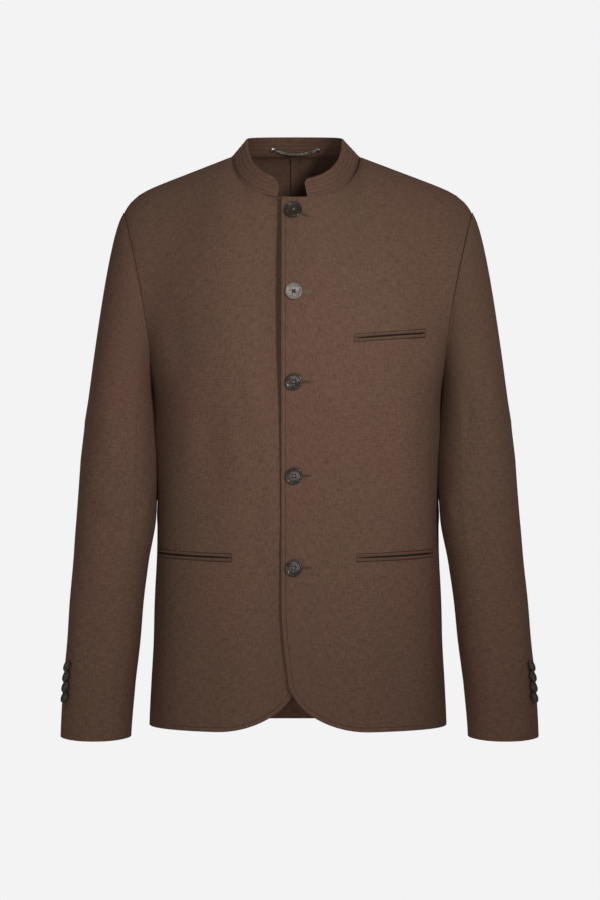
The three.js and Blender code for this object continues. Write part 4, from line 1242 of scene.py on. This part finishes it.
class JACKET_OT_stage(bpy.types.Operator):
    """Pale floor, bright surroundings, two soft lights and the camera"""
    bl_idname = "jacket.stage"
    bl_label = "Stage"

    def shine(self, lamp, place, aim):
        """Puts a light in its place and turns it towards its aim."""
        light = add_object(lamp.name, lamp)
        light.location = place
        way = np.array(aim) - place
        light.rotation_euler = (math.acos(-way[2] / np.linalg.norm(way)), 0,
                                math.atan2(way[1], way[0]) - QUARTER)
        return light

    def execute(self, context):
        settings = context.scene.jacket
        context.scene.view_settings.view_transform = "Standard"
        world = bpy.data.worlds.new("studio")
        world.use_nodes = True
        tree = world.node_tree
        ambient, seen = tree.nodes["Background"], tree.nodes.new("ShaderNodeBackground")
        for ground, strength in ((ambient, settings.ambient), (seen, settings.backdrop)):
            ground.inputs["Color"].default_value = (1, 1, 1, 1)
            ground.inputs["Strength"].default_value = strength
        rays, either = tree.nodes.new("ShaderNodeLightPath"), tree.nodes.new("ShaderNodeMixShader")
        tree.links.new(rays.outputs["Is Camera Ray"], either.inputs[0])
        tree.links.new(ambient.outputs[0], either.inputs[1])
        tree.links.new(seen.outputs[0], either.inputs[2])
        tree.links.new(either.outputs[0], tree.nodes["World Output"].inputs["Surface"])
        context.scene.world = world
        rim = [(0, -FLOOR_THICKNESS), (FLOOR_RADIUS, -FLOOR_THICKNESS), (FLOOR_RADIUS, 0), (0, 0)]
        disc, faces = lathe(rim, 96)
        disc = [(x, -z, y + FLOOR_LEVEL) for x, y, z in disc]
        floor = add_object("floor", mesh_from("floor", disc, faces))
        floor.data.materials.append(material("studio_floor"))
        key = bpy.data.lights.new("key", "SPOT")
        key.energy, key.spot_size, key.spot_blend = settings.key_power, settings.key_angle, 1.0
        key.shadow_soft_size = KEY_SOFTNESS
        fill = bpy.data.lights.new("fill", "AREA")
        fill.energy, fill.size = settings.key_power * FILL_SHARE, FILL_SIZE
        self.shine(key, KEY_PLACE, KEY_AIM).scale[0] = KEY_NARROWING
        self.shine(fill, FILL_PLACE, FILL_AIM)
        view = bpy.data.cameras.new("camera")
        view.lens, view.sensor_width = LENS, SENSOR_WIDTH
        camera = add_object("camera", view)
        camera.location = CAMERA_PLACE
        camera.rotation_euler = (QUARTER, 0, 0)
        context.scene.camera = camera
        return {"FINISHED"}


def level_view(outer, columns, rows):
    return outer[..., 0], outer[..., 2]


def depth_view(outer, columns, rows):
    return outer[..., 1], outer[..., 2]


def body_panels(part, surface, size, edges, creases, view, ease=False):
    """The left and the right panel of a part of the body."""
    pieces = []
    for word, side in SIDES:
        pieces.append(panel(f"{part}_{word}", lambda across, up: surface(side, across, up), body_inward,
                            size, edges, creases[side], view, ease=ease))
    return pieces


class JACKET_OT_fronts(bpy.types.Operator):
    """The two fronts, the wearer's left one lapping over the right"""
    bl_idname = "jacket.fronts"
    bl_label = "Fronts"

    def execute(self, context):
        for piece in body_panels("front", lambda side, across, up: front_point(side, across, 2 * up),
                                 FRONT_SIZE, (TURNED, SEWN, TURNED, SEWN), FRONT_CREASES, level_view,
                                 ease=True):
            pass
        return {"FINISHED"}


class JACKET_OT_backs(bpy.types.Operator):
    """The two halves of the back, sewn at the centre seam"""
    bl_idname = "jacket.backs"
    bl_label = "Backs"

    def execute(self, context):
        for piece in body_panels("back", lambda side, across, up: back_point(side, across, 2 * up),
                                 BACK_SIZE, (SEWN, SEWN, TURNED, SEWN), {1: BACK_CREASES, -1: BACK_CREASES},
                                 level_view):
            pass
        return {"FINISHED"}


class JACKET_OT_side_panels(bpy.types.Operator):
    """The side panels below the armholes"""
    bl_idname = "jacket.side_panels"
    bl_label = "Side panels"

    def execute(self, context):
        for piece in body_panels("side", side_point, SIDE_SIZE, (SEWN, SEWN, TURNED, SEWN),
                                 {1: SIDE_CREASES, -1: SIDE_CREASES}, depth_view):
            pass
        return {"FINISHED"}


def back_sleeve_seam(length):
    return lerp(*SLEEVE_BACK_SEAM, smooth(length / BACK_SEAM_TURN))


def front_sleeve_seam(length):
    return np.full_like(length, SLEEVE_FRONT_SEAM)


def full_turn(length):
    return back_sleeve_seam(length) + 2 * math.pi


class JACKET_OT_sleeves(bpy.types.Operator):
    """Two-piece sleeves, bent a little at the elbow"""
    bl_idname = "jacket.sleeves"
    bl_label = "Sleeves"

    def half(self, side, word, part, start, end, puff):
        """Upper or under half of a sleeve, between its start and its end seam."""
        def place(across, up):
            length = 2 * (1 - up) + 0 * across
            return lerp(start(length), end(length), across), length

        def surface(across, up):
            return sleeve_point(side, *place(across, up))

        def view(outer, columns, rows):
            degrees = np.degrees(place(columns, rows)[0])
            return (degrees + 180) % 360 - 180, outer[..., 2]

        return panel(f"{part}_sleeve_{word}", surface, sleeve_inward, SLEEVE_SIZE,
                     (SEWN, SEWN, TURNED, SEWN), SLEEVE_CREASES, view, puff)

    def execute(self, context):
        for word, side in SIDES:
            upper = self.half(side, word, "upper", back_sleeve_seam, front_sleeve_seam, UPPER_PUFF)
            under = self.half(side, word, "under", front_sleeve_seam, full_turn, UNDER_PUFF)
        return {"FINISHED"}


def collar_stations(step):
    """Places round the collar from its right front end to its left one, as side, angle, distance."""
    found = []
    for side in (-1, 1):
        end = collar_end_angle(side)
        reach = COLLAR_CORNER[side][0]
        near = reach * (1 - np.cos(np.radians(np.linspace(0, 90, 12))))
        angles = [(end + d / NECK_HALF_WIDTH, d) for d in near]
        count = round((math.pi - angles[-1][0]) * COLLAR_RADIUS / step)
        rest = np.linspace(angles[-1][0], math.pi, count + 1)[1:]
        angles += [(a, reach) for a in rest]
        if side > 0:
            angles = angles[::-1][1:]
        found += [(side, angle, distance) for angle, distance in angles]
    return found


def collar_rows(shares):
    """Outer points of the collar at shares of its own height, with rounded front corners."""
    places = collar_stations(COLLAR_STEP)
    grid = []
    for share in shares:
        row = []
        for side, angle, distance in places:
            reach, drop = COLLAR_CORNER[side]
            cut = drop * (1 - math.sqrt(1 - (1 - distance / reach) ** 2))
            base, top = (collar_point(side, angle, np.array(h)) for h in (0.0, 1.0))
            slant = np.linalg.norm(top - base)
            row.append(lerp(base, top, lerp(-COLLAR_SEAM_LAP / slant, 1 - cut / slant, share)))
        grid.append(row)
    return np.array(grid)


class JACKET_OT_collar(bpy.types.Operator):
    """The stand collar with its rounded front corners and four rows of topstitching"""
    bl_idname = "jacket.collar"
    bl_label = "Collar"

    def execute(self, context):
        settings = context.scene.jacket
        thickness = settings.collar_thickness / MM
        rows, row_sink = stations(COLLAR_HEIGHT, COLLAR_ROW_STEP, thickness / 2, SEWN, TURNED)
        outer = collar_rows(rows)
        along = np.linalg.norm(np.diff(outer[0], axis=0, prepend=outer[0][:1]), axis=-1).cumsum()
        left = 1 - np.minimum(along, along[-1] - along) / (thickness / 2)
        column_sink = thickness / 2 * (1 - np.sqrt(1 - np.clip(left, 0, 1) ** 2))
        inward = collar_inward(outer)
        height = rows * COLLAR_HEIGHT
        grooves = sum(GROOVE_DEPTH * np.exp(-((height - line) / GROOVE_HALF_WIDTH) ** 2)
                      for line in COLLAR_STITCH_LEVELS)
        outer = outer + inward * grooves[:, None, None]
        piece = show_wall("cloth_collar", outer, inward, thickness, both_ways(row_sink, column_sink),
                          "melange_wool", "collar")
        stitches = self.rows_of_stitches(settings, thickness)
        return {"FINISHED"}

    def rows_of_stitches(self, settings, thickness):
        """Topstitching on both faces of the collar, sunk a little into its grooves."""
        outer_sink, inner_sink, ends = 0.45, 0.05, slice(6, -6)
        paths = []
        for line in COLLAR_STITCH_LEVELS:
            row = collar_rows([line / COLLAR_HEIGHT])[0]
            face = collar_inward(row)
            paths.append(((row + face * outer_sink)[ends], -face[ends], False))
            paths.append(((row + face * (thickness - inner_sink))[ends], face[ends], False))
        return sew("collar_topstitching", paths, "topstitch_thread",
                   settings.stitch_length + settings.stitch_gap, settings.stitch_length, 0.0005)


def chest_pocket_place(along, level):
    return on_front(1, lerp(*CHEST_POCKET_SPAN, along), level)[0]


def side_pocket_place(side):
    return lambda along, level: body_point(level, side * lerp(*SIDE_POCKET_SPAN[side], along))


class JACKET_OT_pockets(bpy.types.Operator):
    """Double welts of the three pockets, the stitches round them and the lining in their mouths; the dark
    stitches and the near-black lining also paint the shade of the ditches and the mouths
    """
    bl_idname = "jacket.pockets"
    bl_label = "Pocket welts"

    def middle(self, table, along):
        return lerp(table["inner_level"], table["outer_level"], along)

    def ditch(self, place, table):
        """Closed line round the welts of a pocket, with its outward directions; the dark stitches along it
        also paint the shade in the ditch round the welts.
        """
        edge = WELT_TOP + 0.2
        flat = np.linspace(0, 1, 60, endpoint=False)
        steep = np.linspace(edge, -edge, 8, endpoint=False)
        along = np.concatenate([flat, steep * 0 + 1, 1 - flat, steep * 0])
        up = np.concatenate([flat * 0 + edge, steep, flat * 0 - edge, -steep])
        line = place(along, self.middle(table, along) + up)
        face = -body_inward(line)
        return line + face * 0.1, face, True

    def lining(self, name, place, table):
        """Pocket lining that shows through the mouth, as a strip narrowing at its ends; its near-black
        colour is painted shade for the mouth's shadow.
        """
        length = table["length"]
        along, up, sink = strip_grid(length - 2 * LINING_END, WELT_MOUTH, 3, 0.6, LINING_THICKNESS)
        along = lerp(LINING_END / length, 1 - LINING_END / length, along)
        width = (WELT_MOUTH + LINING_LAP) * np.sqrt(np.sin(along * math.pi))
        outer = place(along, self.middle(table, along) + width * (up - 0.5))
        inward = body_inward(outer)
        # The near-black finish paints the shade inside the pocket mouth
        show_wall(f"lining_{name}", outer - inward * LINING_SINK, inward, LINING_THICKNESS, sink,
                  "pocket_lining")

    def welt(self, node, place, table, low, high):
        """One welt between two heights over the pocket's middle line, crowned across."""
        along, up, sink = strip_grid(table["length"], high - low, 2.2, 0.6, WELT_THICKNESS)
        outer = place(along, self.middle(table, along) + lerp(low, high, up))
        inward = body_inward(outer)
        crown = WELT_CROWN - WELT_CROWN_FALL * (2 * up - 1) ** 2
        show_wall(f"cloth_{node}", outer - inward * crown[..., None], inward, WELT_THICKNESS, sink,
                  "melange_wool", node)

    def execute(self, context):
        places = [("chest_welt", chest_pocket_place, CHEST_POCKET)]
        places += [(f"pocket_welt_{word}", side_pocket_place(side), SIDE_POCKET) for word, side in SIDES]
        rings = [self.ditch(place, table) for _, place, table in places]
        # Dark stitches laid end to end round the welts: stitching in the ditch, and painted shade of the
        # groove there
        sew("pocket_stitches", rings, "topstitch_thread", 0.0012, 0.0013, 0.0006)
        for name, place, table in places:
            self.lining(name, place, table)
            self.welt(f"{name}_upper", place, table, WELT_MOUTH / 2, WELT_TOP)
            self.welt(f"{name}_lower", place, table, -WELT_TOP, -WELT_MOUTH / 2)
        return {"FINISHED"}


class JACKET_OT_inside_back(bpy.types.Operator):
    """The hem turned up inside the back, and the centre seam pressed open"""
    bl_idname = "jacket.inside_back"
    bl_label = "Inside back"

    def execute(self, context):
        cloth = context.scene.jacket.cloth_thickness / MM
        self.turn_up(cloth)
        self.allowance(cloth)
        return {"FINISHED"}

    def turn_up(self, cloth):
        """Turned-up hem: a strip inside both back halves, standing a little off at its middle."""
        end = math.pi - seam_angle(BACK_SEAM_ANGLE, HEM_LEVEL) + TURN_UP_REACH
        across, up, sink = strip_grid(TURN_UP_WIDTH, TURN_UP_HEIGHT, 5, 4, INSIDE_THICKNESS)
        angle = lerp(end, 2 * math.pi - end, across)
        outer = body_point(hem_at(angle) + TURN_UP_HEIGHT * up, angle)
        inward = body_inward(outer)
        gap = cloth + 0.15 + 0.25 * np.sin(up * math.pi)
        show_wall("cloth_hem_turn_up", outer + inward * gap[..., None], inward, INSIDE_THICKNESS, sink,
                  "melange_wool", "back_hem_turn_up")

    def allowance(self, cloth):
        """Pressed-open seam allowance along the centre seam, its edges curling off the cloth."""
        across, up, sink = strip_grid(ALLOWANCE_WIDTH, ALLOWANCE_LENGTH, 0.8, 6, INSIDE_THICKNESS)
        centre = back_point(1, 0 * up, lerp(*ALLOWANCE_SPAN, up))
        outer = centre + points((across - 0.5) * ALLOWANCE_WIDTH, 0, 0)
        inward = body_inward(outer)
        curl = 1.3 * (2 * np.abs(across - 0.5)) ** 3
        gap = cloth + 0.2 + curl
        show_wall("cloth_centre_seam_allowance", outer + inward * gap[..., None], inward,
                  INSIDE_THICKNESS, sink, "melange_wool", "centre_seam_allowance")


def place_button(node, shape, thread, centre, face, spin, finishes=("polished_horn", "button_thread")):
    """One button and its thread on the cloth."""
    name = f"horn_{node}"
    mesh = shape.copy()
    mesh.name = name
    place = np.empty(len(mesh.vertices) * 3)
    mesh.vertices.foreach_get("co", place)
    place = turned(place.reshape(-1, 3) / MM, centre, face, spin) * MM
    mesh.vertices.foreach_set("co", place.ravel())
    show(name, mesh, finishes[0], "horn", node)
    vertices, faces = thread
    sewn = mesh_from(name + "_thread", turned(np.array(vertices), centre, face, spin), faces)
    show(name + "_thread", sewn, finishes[1], "wool")


class JACKET_OT_front_buttons(bpy.types.Operator):
    """Five dished horn buttons down the front, the top one tilted and the second one paler"""
    bl_idname = "jacket.front_buttons"
    bl_label = "Front buttons"

    def execute(self, context):
        radius = context.scene.jacket.front_button_radius / MM
        shape, thread = button_mesh(radius, FRONT_BUTTON), button_thread(FRONT_BUTTON)
        for number, level in enumerate(FRONT_BUTTON_LEVELS):
            place, face = on_front(1, CENTRE_FRONT, level)
            tilt = TOP_BUTTON_TILT if number == 0 else 0.0
            lift = FRONT_BUTTON["height"] / 2 + BUTTON_GAP + radius * TILT_LIFT * math.sin(tilt)
            finishes = ("pale_horn", "dark_thread") if number == 1 else ("polished_horn", "button_thread")
            place_button(f"front_button_{number + 1}", shape, thread, place + face * lift,
                         rotate(face, (0, 0, 1), tilt), FRONT_BUTTON_SPINS[number], finishes)
        return {"FINISHED"}


class JACKET_OT_cuff_buttons(bpy.types.Operator):
    """Four overlapping horn buttons on each cuff"""
    bl_idname = "jacket.cuff_buttons"
    bl_label = "Cuff buttons"

    def execute(self, context):
        radius = context.scene.jacket.cuff_button_radius / MM
        shape, thread = button_mesh(radius, CUFF_BUTTON), button_thread(CUFF_BUTTON)
        for word, side in SIDES:
            for number, level in enumerate(CUFF_BUTTON_LEVELS):
                length = np.array(1 + (level - UPPER_ARM) / (CUFF - UPPER_ARM))
                here = sleeve_point(side, CUFF_BUTTON_ANGLE, length)
                along = unit(sleeve_point(side, CUFF_BUTTON_ANGLE + 0.05, length) - here)
                down = unit(sleeve_point(side, CUFF_BUTTON_ANGLE, length + 0.02) - here)
                face = unit(np.cross(along, down))
                face = -face if face[0] * side < 0 else face
                centre = here + face * CUFF_BUTTON_STAND_OFF
                face = rotate(face, along, side * CUFF_BUTTON_TILT)
                place_button(f"cuff_button_{word}_{number + 1}", shape, thread, centre, face,
                             CUFF_BUTTON_SPIN * number)
        return {"FINISHED"}


# Points of the under front's outline that the front over it covers
COVERED_POINTS = 100


def front_outline(side, inset):
    """Points along a front's edge and hem, moved in from them, as x and level."""
    down = np.linspace(-66.0, CUTAWAY_LEVEL, 130)
    corner = float(front_edge_x(side, CUTAWAY_LEVEL))
    share = 1 - np.cos(np.radians(np.linspace(3, 90, 40)))
    end = side * corner + CUTAWAY_REACH
    hem = np.concatenate([corner + side * CUTAWAY_REACH * share, side * np.linspace(end + 5, 152, 12)])
    x = np.concatenate([front_edge_x(side, down), hem])
    z = np.concatenate([down, front_hem(side, hem)])
    along = unit(np.stack([np.gradient(x), np.gradient(z)], axis=-1))
    return x - side * along[:, 1] * inset, z + side * along[:, 0] * inset


class JACKET_OT_topstitching(bpy.types.Operator):
    """Topstitching along the front edges and the front hems"""
    bl_idname = "jacket.topstitching"
    bl_label = "Topstitching"

    def execute(self, context):
        settings = context.scene.jacket
        paths = []
        for _, side in SIDES:
            x, level = front_outline(side, settings.stitch_inset / MM)
            start = 0 if side > 0 else COVERED_POINTS
            place, face = on_front(side, x[start:], level[start:])
            paths.append((place + face * 0.05, face, False))
        sew("front_topstitching", paths, "topstitch_thread",
            settings.stitch_length + settings.stitch_gap, settings.stitch_length, 0.0008)
        return {"FINISHED"}


class JACKET_OT_buttonholes(bpy.types.Operator):
    """Worked buttonholes, each a slot ringed with close silk stitches"""
    bl_idname = "jacket.buttonholes"
    bl_label = "Buttonholes"

    def execute(self, context):
        paths = {"buttonhole_silk": [], "matched_thread": []}
        turn = np.linspace(0, 2 * math.pi, 49)[:-1]
        half_height, roundness = 0.95, 0.55
        for number, level in enumerate(FRONT_BUTTON_LEVELS):
            slant, length = (-0.42, 19.0) if number == 0 else (0.0, 22.0)
            x = CENTRE_FRONT + length / 2 - 1 + length / 2 * signed_power(np.cos(turn), roundness)
            z = level + slant * (x - CENTRE_FRONT) + half_height * signed_power(np.sin(turn), roundness)
            place, face = on_front(1, x, z)
            thread = "buttonhole_silk" if number == 1 else "matched_thread"
            paths[thread].append((place + face * 0.1, face, True))
        for thread, rings in paths.items():
            sew(f"buttonholes_in_{thread}", rings, thread, 0.00052, 0.0021, 0.0006, QUARTER)
        return {"FINISHED"}


def inside_collar(x, height, stand_off):
    """Inner face of the collar at the back, as a place across and up, moved off the cloth."""
    side = -1 if x < 0 else 1
    angle = math.pi - math.asin(abs(x) / NECK_HALF_WIDTH)
    place = collar_point(side, angle, np.array(float(height)))
    return place + collar_inward(place) * (bpy.context.scene.jacket.collar_thickness / MM + stand_off)


class JACKET_OT_hanger(bpy.types.Operator):
    """Metal hanger chain of oval links between two end plates"""
    bl_idname = "jacket.hanger"
    bl_label = "Hanger chain"

    def execute(self, context):
        for word, side in SIDES:
            self.plate(f"hanger_plate_{word}", side)
        reach = CHAIN_HALF_SPAN - PLATE_WIDTH / 2 + CHAIN_LAP
        path = []
        for across in np.linspace(-reach, reach, 41):
            place = inside_collar(across, CHAIN_HEIGHT, CHAIN_STAND_OFF)
            slack = 1 - (across / reach) ** 2
            path.append(place - (0, CHAIN_FORWARD * slack, CHAIN_SAG * slack))
        path = np.array(path)
        grown = chain_tree().grow("steel_hanger_chain", path_mesh("chain_line", [(path, path * 0, False)]),
                                  "nickelled_steel", Pitch=0.0026, Link=0.0019, Wire=0.00045)
        show("steel_hanger_chain", grown, "nickelled_steel", "chain_metal", "hanger_chain")
        return {"FINISHED"}

    def plate(self, node, side):
        """End plate of the chain, with rounded corners and edges, bent to the collar."""
        turn = np.linspace(0, 2 * math.pi, 33)[:-1]
        vertices = []
        for size, lift in PLATE_RINGS:
            across = side * CHAIN_HALF_SPAN + size * PLATE_WIDTH / 2 * signed_power(np.cos(turn), 0.5)
            up = size * PLATE_HEIGHT / 2 * signed_power(np.sin(turn), 0.5)
            vertices += [inside_collar(x, CHAIN_HEIGHT + z / COLLAR_RISE, lift) for x, z in zip(across, up)]
        mesh = mesh_from(node, vertices, ring_faces(len(PLATE_RINGS), len(turn)))
        show("steel_" + node, mesh, "nickelled_steel", "chain_metal", node)


class JACKET_PT_panel(bpy.types.Panel):
    """Lists the jacket's pieces in the order in which they are built"""
    bl_idname = "JACKET_PT_panel"
    bl_label = "Suit jacket"
    bl_space_type = "VIEW_3D"
    bl_region_type = "UI"
    bl_category = "Jacket"

    def draw(self, context):
        for operator in OPERATORS:
            self.layout.operator(operator.bl_idname)


OPERATORS = (
    JACKET_OT_stage, JACKET_OT_fronts, JACKET_OT_backs, JACKET_OT_side_panels, JACKET_OT_sleeves,
    JACKET_OT_collar, JACKET_OT_pockets, JACKET_OT_inside_back, JACKET_OT_front_buttons,
    JACKET_OT_cuff_buttons, JACKET_OT_buttonholes, JACKET_OT_topstitching, JACKET_OT_hanger,
)
CLASSES = (JacketSettings, *OPERATORS, JACKET_PT_panel)


def register():
    for item in CLASSES:
        bpy.utils.register_class(item)
    bpy.types.Scene.jacket = bpy.props.PointerProperty(type=JacketSettings)


def unregister():
    del bpy.types.Scene.jacket
    for item in reversed(CLASSES):
        bpy.utils.unregister_class(item)


def main():
    register()
    for operator in OPERATORS:
        group, name = operator.bl_idname.split(".")
        getattr(getattr(bpy.ops, group), name)()


if __name__ == "__main__":
    main()
